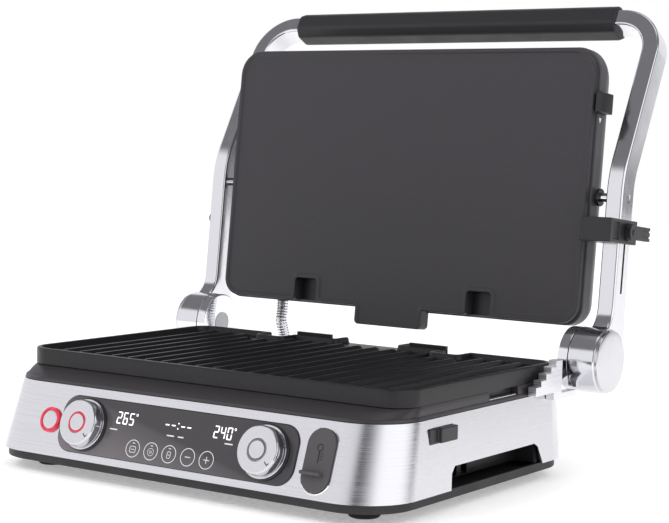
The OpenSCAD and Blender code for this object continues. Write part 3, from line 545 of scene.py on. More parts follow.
# the panel film's paler lower left and its crisp step are a painted reflection
PANEL = Overlay("panel film with painted reflection", "#3B383C", 0.2, pale="#6E696D")
DISPLAY = Moulded("dark display glass", "#101214", 0.12, depth=0.002, coat=0.6)
BOARD = Moulded("green circuit board", "#1F5A33", 0.4, cell=3.0, depth=0.08, coat=0.4)
RED_LIGHT = Lit("lit red light ring", "#C01838", 0.3, power=0.28)
GREY_LIGHT = Moulded("unlit grey light ring", "#6D6A6D", 0.28, coat=0.5)
DIGITS = Lit("lit display digits", "#E4E4EA", 0.3, glow="#FFFFFF", power=0.85)
PRINT = Moulded("white screen print", "#D8D6DA", 0.5, cell=0.9, depth=0.004)
MARK = Moulded("white pad print", "#F2F2F2", 0.5, cell=0.9, depth=0.004)
DARK_PRINT = Moulded("dark screen print", "#1B1A1D", 0.5, cell=0.9, depth=0.004)
FLOOR = Lit("pale studio floor", "#E4E4E4", 0.9, glow="#FFFFFF", power=0.4)

# ---------- shapes ----------


def outline(
    corners: Sequence[tuple[float, float, float]], inset: float = 0.0, steps: int = 8
) -> list[tuple[float, float]]:
    """Rounds a polygon's corners and moves its edge inwards.

    Args:
        corners: X, Y and corner radius of each corner, anticlockwise, in mm.
        inset: distance the edge moves inwards in mm.
        steps: pieces in each corner's arc.

    Returns:
        The points of the outline; their number doesn't depend on the inset.
    """
    points = [Vector(c[:2]) for c in corners]
    loop: list[tuple[float, float]] = []
    for i, (point, corner) in enumerate(zip(points, corners)):
        before = (point - points[i - 1]).normalized()
        after = (points[(i + 1) % len(points)] - point).normalized()
        inner, outer = Vector((-before.y, before.x)), Vector((-after.y, after.x))
        turn = 1.0 if before.cross(after) > 0 else -1.0
        moved = point + (inner + outer) * (inset / (1 + inner.dot(outer)))
        radius = max(corner[2] - turn * inset, 0.05)
        angle = math.acos(max(-1.0, min(1.0, before.dot(after))))
        centre = moved - before * radius * math.tan(angle / 2) + inner * radius * turn
        start = -inner * turn
        for k in range(steps + 1):
            a = turn * angle * k / steps
            spoke = Vector(
                (
                    start.x * math.cos(a) - start.y * math.sin(a),
                    start.x * math.sin(a) + start.y * math.cos(a),
                )
            )
            loop.append(tuple(centre + spoke * radius))
    return loop


def box_corners(
    half: float, y0: float, y1: float, front: float, rear: float
) -> list[tuple[float, float, float]]:
    """Corners of an outline centred on X.

    Args:
        half: half its width in mm.
        y0: its front edge in mm.
        y1: its rear edge in mm.
        front: radius of the front corners in mm.
        rear: radius of the rear corners in mm.

    Returns:
        The corner list for outline().
    """
    return [(-half, y0, front), (half, y0, front), (half, y1, rear), (-half, y1, rear)]


def rect_corners(w: float, h: float, r: float) -> list[tuple[float, float, float]]:
    """Corners of a rounded rectangle about the origin.

    Args:
        w: width in mm.
        h: height in mm.
        r: corner radius in mm.

    Returns:
        The corner list for outline().
    """
    return box_corners(w / 2, -h / 2, h / 2, r, r)


def at_height(loop: Sequence[tuple[float, float]], z: float) -> Loop:
    """Lifts a flat outline to a height.

    Args:
        loop: the flat outline.
        z: the height in mm.

    Returns:
        The lifted loop.
    """
    return [Vector((x, y, z)) for x, y in loop]


def curve(
    points: Sequence[tuple[float, float]], steps: int = 10
) -> list[tuple[float, float]]:
    """Quadratic curve through three control points.

    Args:
        points: start, control and end points.
        steps: pieces in the curve.

    Returns:
        The points along the curve.
    """
    a, b, c = (Vector(p) for p in points)
    return [
        tuple((1 - t) ** 2 * a + 2 * t * (1 - t) * b + t * t * c)
        for t in (i / steps for i in range(steps + 1))
    ]


def height_at(points: Sequence[tuple[float, float]], y: float) -> float:
    """Height of a side-view curve at Y, by straight lines between its points.

    Args:
        points: the curve's points as (y, z).
        y: where the height is wanted, in mm.

    Returns:
        The height in mm.
    """
    line = sorted(points)
    if y <= line[0][0]:
        return line[0][1]
    for (y0, z0), (y1, z1) in zip(line, line[1:]):
        if y <= y1:
            return z0 + (z1 - z0) * (y - y0) / max(y1 - y0, 1e-6)
    return line[-1][1]


class Shape:
    """A mesh being drawn in mm, turned into an object when it is done."""

    def __init__(self) -> None:
        """Starts an empty mesh."""
        self.points: list[Vector] = []
        self.faces: list[tuple[int, ...]] = []

    def loft(
        self,
        loops: Sequence[Loop],
        place: Matrix = REST,
        caps: bool = True,
        ring: bool = False,
    ) -> "Shape":
        """Joins loops of equal length with quads.

        Args:
            loops: the loops in order.
            place: where the loft goes.
            caps: closes the first and last loop.
            ring: joins the last loop to the first.

        Returns:
            This shape, so calls can be chained.
        """
        start, count = len(self.points), len(loops[0])
        for loop in loops:
            self.points += [place @ Vector(p) for p in loop]
        rows = len(loops) if ring else len(loops) - 1
        for i in range(rows):
            a, b = start + i * count, start + ((i + 1) % len(loops)) * count
            for k in range(count):
                n = (k + 1) % count
                self.faces.append((a + k, a + n, b + n, b + k))
        if caps and not ring:
            self.faces.append(tuple(start + k for k in reversed(range(count))))
            last = start + (len(loops) - 1) * count
            self.faces.append(tuple(last + k for k in range(count)))
        return self

    def lathe(
        self,
        profile: Sequence[tuple[float, float]],
        place: Matrix = REST,
        steps: int = 72,
        ring: bool = True,
    ) -> "Shape":
        """Turns a profile of radius and height round +Z.

        Args:
            profile: radius and height pairs in mm.
            place: where the turned piece goes.
            steps: facets round the axis.
            ring: closes the profile on itself, for a piece with a bore.

        Returns:
            This shape.
        """
        loops = [
            [
                Vector((r * math.cos(a), r * math.sin(a), z))
                for a in (2 * math.pi * k / steps for k in range(steps))
            ]
            for r, z in ((max(r, 0.02), z) for r, z in profile)
        ]
        return self.loft(loops, place, caps=not ring, ring=ring)

    def box(
        self, low: tuple[float, float, float], high: tuple[float, float, float],
        place: Matrix = REST,
    ) -> "Shape":
        """Adds a block between two corners.

        Args:
            low: its lowest corner in mm.
            high: its highest corner in mm.
            place: where the block goes.

        Returns:
            This shape.
        """
        (x0, y0, z0), (x1, y1, z1) = low, high
        flat = [(x0, y0), (x1, y0), (x1, y1), (x0, y1)]
        return self.loft([at_height(flat, z0), at_height(flat, z1)], place)

    def slab(
        self,
        corners: Sequence[tuple[float, float, float]],
        z0: float,
        z1: float,
        edge: float = 0.6,
        place: Matrix = REST,
        steps: int = 8,
    ) -> "Shape":
        """Adds a plate with rounded upper and lower edges.

        Args:
            corners: its outline's corners.
            z0: its underside in mm.
            z1: its top in mm.
            edge: radius of its edges in mm.
            place: where it goes.
            steps: pieces in each corner's arc.

        Returns:
            This shape.
        """
        stack = [
            (edge * (1 - math.sin(a)), z0 + edge * (1 - math.cos(a)))
            for a in (math.radians(d) for d in (0, 30, 60, 90))
        ]
        stack += [(g, z0 + z1 - z) for g, z in reversed(stack)]
        loops = [at_height(outline(corners, g, steps), z) for g, z in stack]
        return self.loft(loops, place)

    def rod(
        self,
        radius: float,
        length: float,
        place: Matrix,
        edge: float = 0.5,
        bore: float = 0.0,
        steps: int = 64,
    ) -> "Shape":
        """Adds a rod or a tube along the place's +Z, with softened ends.

        Args:
            radius: outer radius in mm.
            length: length in mm.
            place: where its near end goes.
            edge: size of the softened outer edges in mm.
            bore: inner radius of a tube, or nothing.
            steps: points round it.

        Returns:
            This shape.
        """
        outer = [(radius - edge, 0.0), (radius, edge), (radius, length - edge)]
        outer.append((radius - edge, length))
        inner = [(bore, length), (bore, 0.0)]
        return self.lathe(outer + inner, place, steps, ring=True)

    def cutter(self) -> bpy.types.Object:
        """Makes an object for cutting another; cut() deletes it.

        Returns:
            The object, in mm.
        """
        return self.linked("cutter", REST)

    def linked(self, name: str, place: Matrix) -> bpy.types.Object:
        """Cleans the mesh and links it as an object.

        Args:
            name: the object's name.
            place: its place, in mm.

        Returns:
            The object.
        """
        mesh = bpy.data.meshes.new(name)
        mesh.from_pydata([tuple(p) for p in self.points], [], self.faces)
        work = bmesh.new()
        work.from_mesh(mesh)
        bmesh.ops.remove_doubles(work, verts=work.verts, dist=1e-3)
        bmesh.ops.recalc_face_normals(work, faces=work.faces)
        work.to_mesh(mesh)
        work.free()
        made = bpy.data.objects.new(name, mesh)
        made.matrix_world = place
        bpy.context.scene.collection.objects.link(made)
        return made

    def piece(
        self,
        name: str,
        finish: Finish,
        body: Body,
        replaces: Sequence[str] = (),
        place: Matrix = REST,
        cuts: Sequence[bpy.types.Object] = (),
        bevel: float = 0.0,
        angle: float = 32.0,
        slot: str = "",
        axis: Matrix | None = None,
    ) -> bpy.types.Object:
        """Turns the shape into a finished piece that rides on a body.

        Args:
            name: the piece's name.
            finish: its finish.
            body: the body it rides on.
            replaces: CAD nodes it stands for.
            place: a last move of the whole shape, in mm.
            cuts: cutters taken out of it.
            bevel: width of the edge rounding in mm.
            angle: edges sharper than this stay sharp, in degrees.
            slot: the record's material slot; not used.
            axis: keeps the object's own origin there, for turned finishes.

        Returns:
            The piece.
        """
        made = self.linked(name, REST)
        if cuts:
            cut(made, cuts)
        local = axis or REST
        made.data.transform(Matrix.Scale(MM, 4) @ local.inverted() @ place)
        made.matrix_world = Matrix.Translation(local.translation * MM) @ (
            local.to_3x3().to_4x4()
        )
        dress(made, finish, bevel, angle)
        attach(made, body.value)
        if replaces:
            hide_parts(*replaces)
        log.info("%s: %d faces", name, len(made.data.polygons))
        return made


def cut(made: bpy.types.Object, tools: Sequence[bpy.types.Object]) -> None:
    """Takes cutters out of an object and deletes them.

    Args:
        made: the object that is cut.
        tools: the cutters.
    """
    for tool in tools:
        step = made.modifiers.new("cut", "BOOLEAN")
        step.operation, step.solver, step.object = "DIFFERENCE", "EXACT", tool
    bpy.context.view_layer.update()
    seen = made.evaluated_get(bpy.context.evaluated_depsgraph_get())
    mesh = bpy.data.meshes.new_from_object(seen)
    made.modifiers.clear()
    made.data = mesh
    for tool in tools:
        bpy.data.objects.remove(tool)


def dress(
    made: bpy.types.Object, finish: Finish, bevel: float, angle: float
) -> None:
    """Gives an object its finish, edge rounding and shading.

    Args:
        made: the object.
        finish: its finish.
        bevel: width of the edge rounding in mm, or zero.
        angle: edges sharper than this stay sharp, in degrees.
    """
    made.data.materials.clear()
    made.data.materials.append(finish.material())
    made.data.shade_smooth()
    if bevel:
        edge = made.modifiers.new("edges", "BEVEL")
        edge.width, edge.segments = bevel * MM, 3
        edge.limit_method, edge.angle_limit = "ANGLE", math.radians(angle)
        edge.use_clamp_overlap = True
        edge.miter_outer = "MITER_ARC"
    else:
        made.data.set_sharp_from_angle(angle=math.radians(angle))
    even = made.modifiers.new("normals", "WEIGHTED_NORMAL")
    even.keep_sharp, even.weight = True, 80


@dataclass
class Carried:
    """A CAD node shown again with clean faces and softened edges."""

    node: str
    finish: Finish
    bevel: float = 0.5
    slot: str = ""

    def build(self) -> bpy.types.Object:
        """Copies the node's mesh, cleans it and rides it on the node's body.

        Returns:
            The new piece.
        """
        source = frame["nodes"][self.node]
        mesh = source.data.copy()
        work = bmesh.new()
        work.from_mesh(mesh)
        bmesh.ops.remove_doubles(work, verts=work.verts, dist=2e-6)
        bmesh.ops.dissolve_limit(
            work, angle_limit=math.radians(1.0), verts=work.verts, edges=work.edges
        )
        work.to_mesh(mesh)
        work.free()
        made = bpy.data.objects.new(self.node + "_made", mesh)
        bpy.context.scene.collection.objects.link(made)
        dress(made, self.finish, self.bevel, 35.0)
        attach(made, source["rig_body"])
        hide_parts(self.node)
        log.info("%s: carried over", self.node)
        return made


def band_corners(z: float, grow: float = 0.0) -> list[tuple[float, float, float]]:
    """Outline of the tapered base at a height.

    Args:
        z: the height in mm.
        grow: how far the outline is grown outwards, in mm.

    Returns:
        The corner list for outline().
    """
    f = (z - 16) / 54.2
    return box_corners(
        194 - 6 * f + grow,
        -147.5 + 19 * f - grow,
        147.5 + grow,
        45 - 5 * f + grow,
        45 - 5 * f + grow,
    )


def side_recess(side: Side) -> Shape:
    """Cutter for the hand recess under one side.

    Args:
        side: the side of the press.

    Returns:
        The cutter's mesh.
    """
    outline_yz = [(-56, 8), (90, 8), (80, 30), (75, 33), (-47, 33), (-52, 28)]
    xs = [s * side.value for s in (154.0, 214.0)]
    return Shape().loft([[Vector((x, y, z)) for y, z in outline_yz] for x in xs])


@dataclass
class Housing:
    """The base: steel band, collar, pan, feet, hand recesses and inlets."""

    thickness: float = 1.2
    cuts_deep: float = 16.0
    carried: list[Carried] = field(
        default_factory=lambda: [
            Carried("rubber_feet", RUBBER, 0.6, "rubber"),
            Carried("bottom_pan", PAN, 0.4, "black_plastic"),
            Carried("left_grip_liner", BLACK, 0.6, "black_plastic"),
            Carried("right_grip_liner", BLACK, 0.6, "black_plastic"),
            Carried("mains_gland", RUBBER, 0.3, "rubber"),
            Carried("conduit_gland", RUBBER, 0.3, "rubber"),
            Carried("drip_tray", BLACK, 0.8, "black_plastic"),
        ]
    )

    def band(self) -> None:
        """Builds the folded steel band with its openings."""
        heights = [16.0, 16.5, 30.0, 45.0, 58.0, 69.7, 70.2]
        outer = [at_height(outline(band_corners(z), 0, 24), z) for z in heights]
        inner = [
            at_height(outline(band_corners(z, -self.thickness), 0, 24), z)
            for z in reversed(heights)
        ]
        deep = self.cuts_deep
        tools = [side_recess(s).cutter() for s in Side]
        for x, w, h, r in ((0.8, 221, 36.5, 10), (135.5, 18, 41, 8.9)):
            loops = [at_height(outline(rect_corners(w, h, r)), z) for z in (-deep, deep)]
            tools.append(Shape().loft(loops, on_front(x)).cutter())
        tools.append(
            Shape().lathe([(0, -deep), (8.8, -deep), (8.8, deep), (0, deep)],
                          on_front(-125.0), ring=False).cutter()
        )
        tools.append(Shape().box((164, -80.3, 52.2), (224, -45.7, 63.8)).cutter())
        tools.append(Shape().box((-72.5, 127.5, 22), (72.5, 167.5, 47)).cutter())
        for x, z, r in ((-140, 48, 8.0), (140, 34, 7.75)):
            place = Matrix.Translation((x, 127, z)) @ Matrix.Rotation(-math.pi / 2, 4, "X")
            tools.append(
                Shape().lathe([(0, 0), (r, 0), (r, 40), (0, 40)], place, ring=False).cutter()
            )
        Shape().loft(outer + inner, caps=False, ring=True).piece(
            "steel_band_made", STEEL, Body.BASE, ["steel_band"], cuts=tools,
            slot="brushed_steel",
        )

    def collar(self) -> None:
        """Builds the moulded collar that closes the band and carries the plate."""
        rows = [
            (70.25, 187.1, -127.6, 146.6, 39.6, 39.6),
            (70.7, 187.5, -128.0, 147.0, 40, 40),
            (72.5, 187.3, -127.4, 146.8, 40, 40),
            (73.0, 186.9, -127.0, 146.3, 39.6, 39.6),
            (73.1, 186.0, -125.6, 145.5, 38, 38),
            (76.5, 185.7, -117.0, 144.0, 31, 36),
            (79.3, 185.4, -107.6, 142.9, 23.6, 35),
            (79.98, 184.9, -105.0, 142.3, 22, 34.6),
        ]
        loops = [
            at_height(outline(box_corners(*row[1:]), 0, 16), row[0]) for row in rows
        ]
        lip = [
            at_height(outline(box_corners(185.5, -124, 144.5, 38, 38), 0, 16), z)
            for z in (65.2, 70.25)
        ]
        well = [
            at_height(outline(box_corners(168, -93, 97, 14, 14)), z) for z in (61, 110)
        ]
        tools = [
            Shape().loft(well).cutter(),
            Shape().box((-31, 126, 61), (31, 133.5, 110)).cutter(),
            Shape().box((179, 12, 73.4), (214, 57, 110)).cutter(),
            Shape().box((171.5, -70, 61), (177.9, -56, 110)).cutter(),
        ]
        Shape().loft(lip + loops).piece(
            "collar_made", COLLAR, Body.BASE, ["collar"], cuts=tools,
            slot="black_plastic",
        )
        Shape().box((180.5, 14, 73.42), (185.2, 55, 74.3)).piece(
            "landing_strip", RACK_STEEL, Body.BASE, bevel=0.25, slot="brushed_steel"
        )

    def build(self) -> None:
        """Builds the base."""
        self.band()
        self.collar()
        for part in self.carried:
            part.build()
        Shape().loft(
            [
                [Vector((x, 140.5 + y, z)) for x, z in outline(rect_corners(12, 3, 1.4))]
                for y in (4.4, 4.6)
            ],
            Matrix.Translation((0, 2.2, 20.5)),
        ).piece("tray_mark", MARK, Body.DRIP_TRAY, slot="black_plastic")


# Bars lit in each shown figure, in the order top, middle, bottom, upper left,
# upper right, lower left, lower right.
FIGURES = {
    "0": "1011111",
    "2": "1110110",
    "4": "0101101",
    "5": "1111001",
    "6": "1111011",
    "-": "0100000",
}


@dataclass
class ControlPanel:
    """Panel film, display figures, touch marks, knobs, rings and buttons."""

    centre: float = 0.8
    spread: float = 87.4
    figure_w: float = 4.6
    figure_h: float = 9.4
    bar: float = 0.95

    def plate(self) -> None:
        """Builds the panel plate with its two openings."""
        tools = [
            Shape().lathe([(0, -5), (8.46, -5), (8.46, 5), (0, 5)],
                          on_front(self.centre + s.value * self.spread), ring=False).cutter()
            for s in Side
        ]
        tongue = [
            at_height(outline(rect_corners(220.4, 35.9, 9.7), 0, 12), z) for z in (-2.4, 0.1)
        ]
        stack = [(0.0, 0.0), (0.0, 0.7), (0.25, 1.15), (0.9, 1.4)]
        rim = [
            at_height(outline(rect_corners(229, 44.5, 14), g, 12), z) for g, z in stack
        ]
        Shape().loft(tongue + rim, on_front(self.centre)).piece(
            "panel_made", PANEL, Body.BASE, ["control_panel"], cuts=tools, slot="panel"
        )
        edge = [(0.0, 0.05), (-0.7, 0.05), (-0.7, 0.45), (0.0, 0.6)]
        Shape().loft(
            [at_height(outline(rect_corners(228.4, 43.9, 13.7), g, 12), z) for g, z in edge],
            on_front(self.centre), ring=True,
        ).piece("panel_seal", DARK_PRINT, Body.BASE, slot="panel")

    def figure(self, shape: Shape, mark: str, x: float, s: float) -> None:
        """Draws one seven-bar figure at a place on the panel.

        Args:
            shape: the mesh that gets the bars.
            mark: the figure.
            x: its centre across the panel in mm.
            s: its centre up the slope in mm.
        """
        w, h, t = self.figure_w / 2, self.figure_h / 2, self.bar / 2
        bars = [
            (0, h - t, w - t, t), (0, 0, w - t, t), (0, t - h, w - t, t),
            (t - w, h / 2, t, h / 2 - t), (w - t, h / 2, t, h / 2 - t),
            (t - w, -h / 2, t, h / 2 - t), (w - t, -h / 2, t, h / 2 - t),
        ]
        for lit, (bx, by, hx, hy) in zip(FIGURES[mark], bars):
            if lit == "1":
                shape.box((bx - hx, by - hy, 1.4), (bx + hx, by + hy, 1.47), on_front(x, s))

    def display(self) -> None:
        """Builds the lit figures and the small bars under them."""
        s = PANEL_MID + 9.4
        lit = Shape()
        for text, start in (("265", -54.6), ("240", 40.5)):
            for i, mark in enumerate(text):
                self.figure(lit, mark, start + 6.2 * i, s)
            ring = [(0.55, 1.4), (1.0, 1.4), (1.0, 1.47), (0.55, 1.47)]
            lit.lathe(ring, on_front(start + 17.0, s + 3.7), 20)
        for x in (-6.6, -0.6, 8.6, 14.6):
            self.figure(lit, "-", x, s)
        for y in (-2.0, 2.0):
            lit.box((-0.5, -0.5, 1.4), (0.5, 0.5, 1.47), on_front(4.0, s + y))
        lit.piece("display_figures", DIGITS, Body.BASE, slot="display")
        small = Shape()
        for x, y, w in ((-58, -9.4, 7.5), (-1.5, -8.0, 7), (8.5, -8.0, 5.5), (54, -7.6, 7.5)):
            small.box((-w / 2, -0.5, 1.4), (w / 2, 0.5, 1.46), on_front(x, s + y))
        small.piece("display_bars", PRINT, Body.BASE, slot="display")

    def touch_marks(self) -> None:
        """Builds the five ringed touch marks and their plain symbols."""
        s, shape = PANEL_MID - 12.4, Shape()
        ring = [(6.3, 1.4), (6.85, 1.4), (6.85, 1.46), (6.3, 1.46)]
        for x in (-34.7, -16.8, 1.0, 19.2, 37.0):
            shape.lathe(ring, on_front(x, s), 40)
        for x in (19.2, 37.0):
            shape.box((-2.6, -0.3, 1.4), (2.6, 0.3, 1.46), on_front(x, s))
        shape.box((-0.3, -2.6, 1.4), (0.3, 2.6, 1.46), on_front(37.0, s))
        for radius in (1.1, 3.0):
            ring = [(radius - 0.35, 1.4), (radius, 1.4), (radius, 1.46), (radius - 0.35, 1.46)]
            shape.lathe(ring, on_front(-16.8, s - 0.6), 32)
        for x, w, h in ((-34.7, 6.0, 5.0), (1.0, 3.6, 5.4)):
            rows = [(0.0, 1.4), (0.45, 1.4), (0.45, 1.46), (0.0, 1.46)]
            frame_loops = [at_height(outline(rect_corners(w, h, 1.2), g, 5), z) for g, z in rows]
            shape.loft(frame_loops, on_front(x, s - 0.6), ring=True)
            shape.box((-w / 4, -0.25, 1.4), (w / 4, 0.25, 1.46), on_front(x, s - 0.6))
        for x in (-34.7, -16.8, 1.0):
            shape.box((-1.2, -0.3, 1.4), (1.2, 0.3, 1.46), on_front(x, s + 4.2))
        shape.piece("touch_marks", PRINT, Body.BASE, slot="panel")

    def knob(self, side: Side, turn: Body, press: Body, light: Finish, slot: str) -> None:
        """Builds one knob with its bezel, light ring and start button.

        Args:
            side: which end of the panel it is on.
            turn: the body of the knob.
            press: the body of the button in its middle.
            light: finish of the light ring.
            slot: material slot of the light ring.
        """
        where = on_front(self.centre + side.value * self.spread)
        word = side.name.lower()
        bezel = [
            (10.0, 1.4), (20.9, 1.4), (21.0, 1.6), (21.0, 2.6), (20.7, 3.0), (20.2, 3.2),
            (15.7, 3.2), (15.7, 2.4), (14.5, 2.4), (14.5, 3.2), (10.0, 3.2),
        ]
        Shape().lathe(bezel, where, 96).piece(
            f"{word}_bezel_made", BLACK, Body.BASE, [f"{word}_bezel"], slot="black_plastic"
        )
        skirt = [
            (8.46, 3.5), (19.6, 3.5), (19.9, 3.7), (19.9, 4.1), (19.6, 4.35), (17.9, 4.4),
            (17.8, 5.3), (18.3, 5.5), (18.5, 5.8), (18.1, 10.4), (17.9, 11.3), (17.55, 12.0),
            (17.1, 12.3), (8.46, 12.3),
        ]
        body = Shape().lathe(skirt, where, 120)
        body.piece(
            f"{word}_knob_edge", KNOB_SIDE, turn, [f"{word}_knob"], slot="knob_metal",
            angle=28,
        )
        face = [
            (9.0, 12.2), (17.0, 12.2), (17.1, 12.3), (16.95, 12.44), (16.7, 12.46),
            (9.3, 12.46), (8.9, 12.42), (8.6, 12.3), (8.6, 12.2),
        ]
        pointer = Matrix.Rotation(math.radians(-42), 4, "Z")
        notch = [
            Shape().box((11.9, -0.45, 12.3), (15.9, 0.45, 13.5), where @ pointer).cutter(),
            Shape().box((15.1, -0.45, 12.3), (15.9, 2.2, 13.5), where @ pointer).cutter(),
        ]
        Shape().lathe(face, where, 120).piece(
            f"{word}_knob_face", SPUN, turn, slot="knob_metal", axis=where, cuts=notch
        )
        Shape().box((11.95, -0.42, 12.24), (15.85, 0.42, 12.36), where @ pointer).box(
            (15.15, -0.42, 12.24), (15.85, 2.15, 12.37), where @ pointer
        ).piece(f"{word}_pointer_fill", DARK_PRINT, turn, slot="knob_metal")
        ring = [(6.86, -2), (8.4, -2), (8.4, 11.9), (8.15, 12.1), (7.1, 12.1), (6.86, 11.9)]
        Shape().lathe(ring, where, 72).piece(
            f"{word}_light_ring_made", light, Body.BASE, [f"{word}_light_ring"], slot=slot
        )
        button = [
            (0, -10), (2.5, -10), (2.5, 3.5), (6.8, 3.5), (6.8, 12.3), (6.6, 12.7),
            (6.2, 12.88), (4.6, 12.78), (0, 12.68),
        ]
        Shape().lathe(button, where, 72, ring=False).piece(
            f"{word}_start_button_made", SPUN, press, [f"{word}_start_button"],
            slot="knob_metal", axis=where,
        )

    def power(self) -> None:
        """Builds the power button with its lit ring."""
        where = on_front(-125.0)
        ring = [(7.66, 0.02), (10, 0.02), (10, 1.9), (9.6, 2.45), (8.1, 2.6), (7.66, 2.4)]
        Shape().lathe(ring, where, 72).piece(
            "power_ring_made", RED_LIGHT, Body.BASE, ["power_light_ring"], slot="red_light"
        )
        button = [(0, -8), (7.6, -8), (7.6, 1.5), (7.3, 1.9), (6.6, 2.1), (4.0, 2.2), (0, 2.25)]
        Shape().lathe(button, where, 72, ring=False).piece(
            "power_button_made", SPUN, Body.POWER_BUTTON, ["power_button"],
            slot="knob_metal", axis=where,
        )

    def build(self) -> None:
        """Builds the panel and everything on it."""
        self.plate()
        self.display()
        self.touch_marks()
        self.knob(Side.LEFT, Body.LEFT_KNOB, Body.LEFT_START, RED_LIGHT, "red_light")
        self.knob(Side.RIGHT, Body.RIGHT_KNOB, Body.RIGHT_START, GREY_LIGHT, "grey_light")
        self.power()
        for node in ("left_encoder", "right_encoder", "probe_socket"):
            Carried(node, BLACK, 0.3, "black_plastic").build()
        Carried("display_module", DISPLAY, 0.2, "display").build()


@dataclass
class SocketFlap:
    """Rubber flap over the probe socket, with its tab and raised symbol."""

    x: float = 135.5

    def build(self) -> None:
        """Builds the flap and its bright surround."""
        where = on_front(self.x)
        flap = Shape().slab(rect_corners(24, 47, 11.98), 0.2, 2.8, 0.8, where, 14)
        tab = [(-11.3, -11.7, 1.2), (6.4, -11.7, 1.2), (6.4, -8.9, 1.2), (-11.3, -8.9, 1.2)]
        flap.loft(
            [at_height(outline(tab, g, 5), z) for g, z in
             ((0.0, 2.6), (0.0, 6.4), (0.3, 7.2), (0.9, 7.78))],
            where,
        )
        flap.piece("flap_made", FLAP, Body.SOCKET_COVER, ["socket_cover"], slot="flap_rubber")
        mark = Shape()
        ring = [(2.0, 2.8), (2.7, 2.8), (2.7, 2.95), (2.0, 2.95)]
        mark.lathe(ring, on_front(self.x, PANEL_MID + 9), 28)
        mark.box((-0.5, -11, 2.79), (0.5, -2.5, 2.95), on_front(self.x, PANEL_MID + 9))
        for y in (-4.2, -6.4, -8.6):
            mark.box((1.4, y - 0.3, 2.79), (3.4, y + 0.3, 2.95), on_front(self.x, PANEL_MID + 9))
        mark.piece("flap_mark", DARK_PRINT, Body.SOCKET_COVER, slot="flap_rubber")
        rows = [(0.0, 0.02), (-1.3, 0.02), (-1.1, 0.5), (-0.35, 0.95), (0.0, 0.6)]
        Shape().loft(
            [at_height(outline(rect_corners(24.4, 47.4, 12.18), g, 14), z) for g, z in rows],
            where, ring=True,
        ).piece(
            "flap_surround", POLISHED, Body.BASE, slot="polished_steel",
            cuts=[Shape().box((-5.5, 22.0, -3.0), (5.5, 27.0, 3.0), where).cutter()],
        )


PLATE_CORNERS = [
    (-185, -107, 22), (185, -107, 22), (185, 123, 16), (103, 123, 2.5), (103, 102.5, 3),
    (79, 102.5, 3), (79, 123, 2.5), (35, 123, 2), (35, 139.5, 4), (-35, 139.5, 4),
    (-35, 123, 2), (-79, 123, 2.5), (-79, 102.5, 3), (-103, 102.5, 3), (-103, 123, 2.5),
    (-185, 123, 16),
]
WELL_CORNERS = PLATE_CORNERS[:8] + [(35, 152, 4), (-35, 152, 4)] + PLATE_CORNERS[10:]


@dataclass
class CookingPlate:
    """A cast plate; the lower one has ribs, the upper one is smooth."""

    name: str
    body: Body
    finish: Finish
    rim_z: float
    rim: float
    ribbed: bool
    place: Matrix
    thick: float = 4.5
    height: float = 13.0
    pitch: float = 17.6
    rear_edge: float = 123.0
    rib_run: float = 230.0
    edge_gap: float = 9.0
    notch_gap: float = 28.5
    front_gap: float = 13.0
    notch: tuple[float, float] = (72.0, 110.0)

    def rib(self, shape: Shape, x: float) -> None:
        """Adds one rib with a rounded back and sloping ends.

        Args:
            shape: the mesh that gets the rib.
            x: the rib's centre in mm.
        """
        by_notch = self.notch[0] < abs(x) < self.notch[1]
        gap = self.notch_gap if by_notch else self.edge_gap
        rear = self.rear_edge - gap
        front = rear - (self.rib_run - gap - self.front_gap)
        stations = [
            (front, 0.02), (front + 1.2, 0.45), (front + 3, 0.8), (front + 6, 1.0),
            (rear - 6, 1.0), (rear - 3, 0.8), (rear - 1.2, 0.45), (rear, 0.02),
        ]
        section = [(-2.6, 0), (-2.1, 1.4), (-1.6, 2.6), (-1.2, 3.05), (-0.7, 3.2)]
        section += [(-a, z) for a, z in reversed(section)]
        base = self.rim_z - self.rim - 0.02
        shape.loft(
            [
                [Vector((x + a * (0.6 + 0.4 * f), y, base + z * f)) for a, z in section]
                for y, f in stations
            ]
        )

    def build(self) -> None:
        """Builds the plate."""
        top, floor = self.rim_z, self.rim_z - self.rim
        e = 1.1
        stack = [(0.0, top - self.height), (0.0, top - 6), (0.0, top - e)]
        stack += [(0.35, top - 0.35), (e, top)]
        body = Shape().loft([at_height(outline(PLATE_CORNERS, g), z) for g, z in stack])
        well = Shape().loft(
            [at_height(outline(WELL_CORNERS, g), z) for g, z in
             ((5.6, floor), (4.4, floor + 0.7), (3.6, top - 0.5), (3.1, top + 0.01), (2.9, top + 6))]
        )
        under = Shape().loft(
            [at_height(outline(PLATE_CORNERS, 3), z)
             for z in (top - self.height - 4, floor - self.thick)]
        )
        if self.ribbed:
            tool = [well.cutter(), under.cutter()]
            body.piece(
                self.name + "_made", self.finish, self.body, [self.name], cuts=tool,
                bevel=0.4, slot="nonstick",
            )
            ribs = Shape()
            for i in range(-9, 10):
                self.rib(ribs, i * self.pitch)
            for s in Side:
                x0, x1 = sorted((s.value * 41, s.value * 78))
                ribs.box((x0, 121, 80.2), (x1, 129, 92.2)).box((x0, 125.8, 80.2), (x1, 129, 95.6))
            ribs.box((178.7, -71, 80.2), (184, -55, 82.2))
            ribs.piece(
                self.name + "_ribs", self.finish, self.body, bevel=0.3, slot="nonstick"
            )
            return
        flip = Matrix.Translation((0, 0, 2 * top)) @ Matrix.Scale(-1, 4, (0, 0, 1))
        body.piece(
            self.name + "_made", self.finish, self.body, [self.name],
            place=self.place @ flip, cuts=[well.cutter(), under.cutter()], bevel=0.4,
            slot="nonstick",
        )


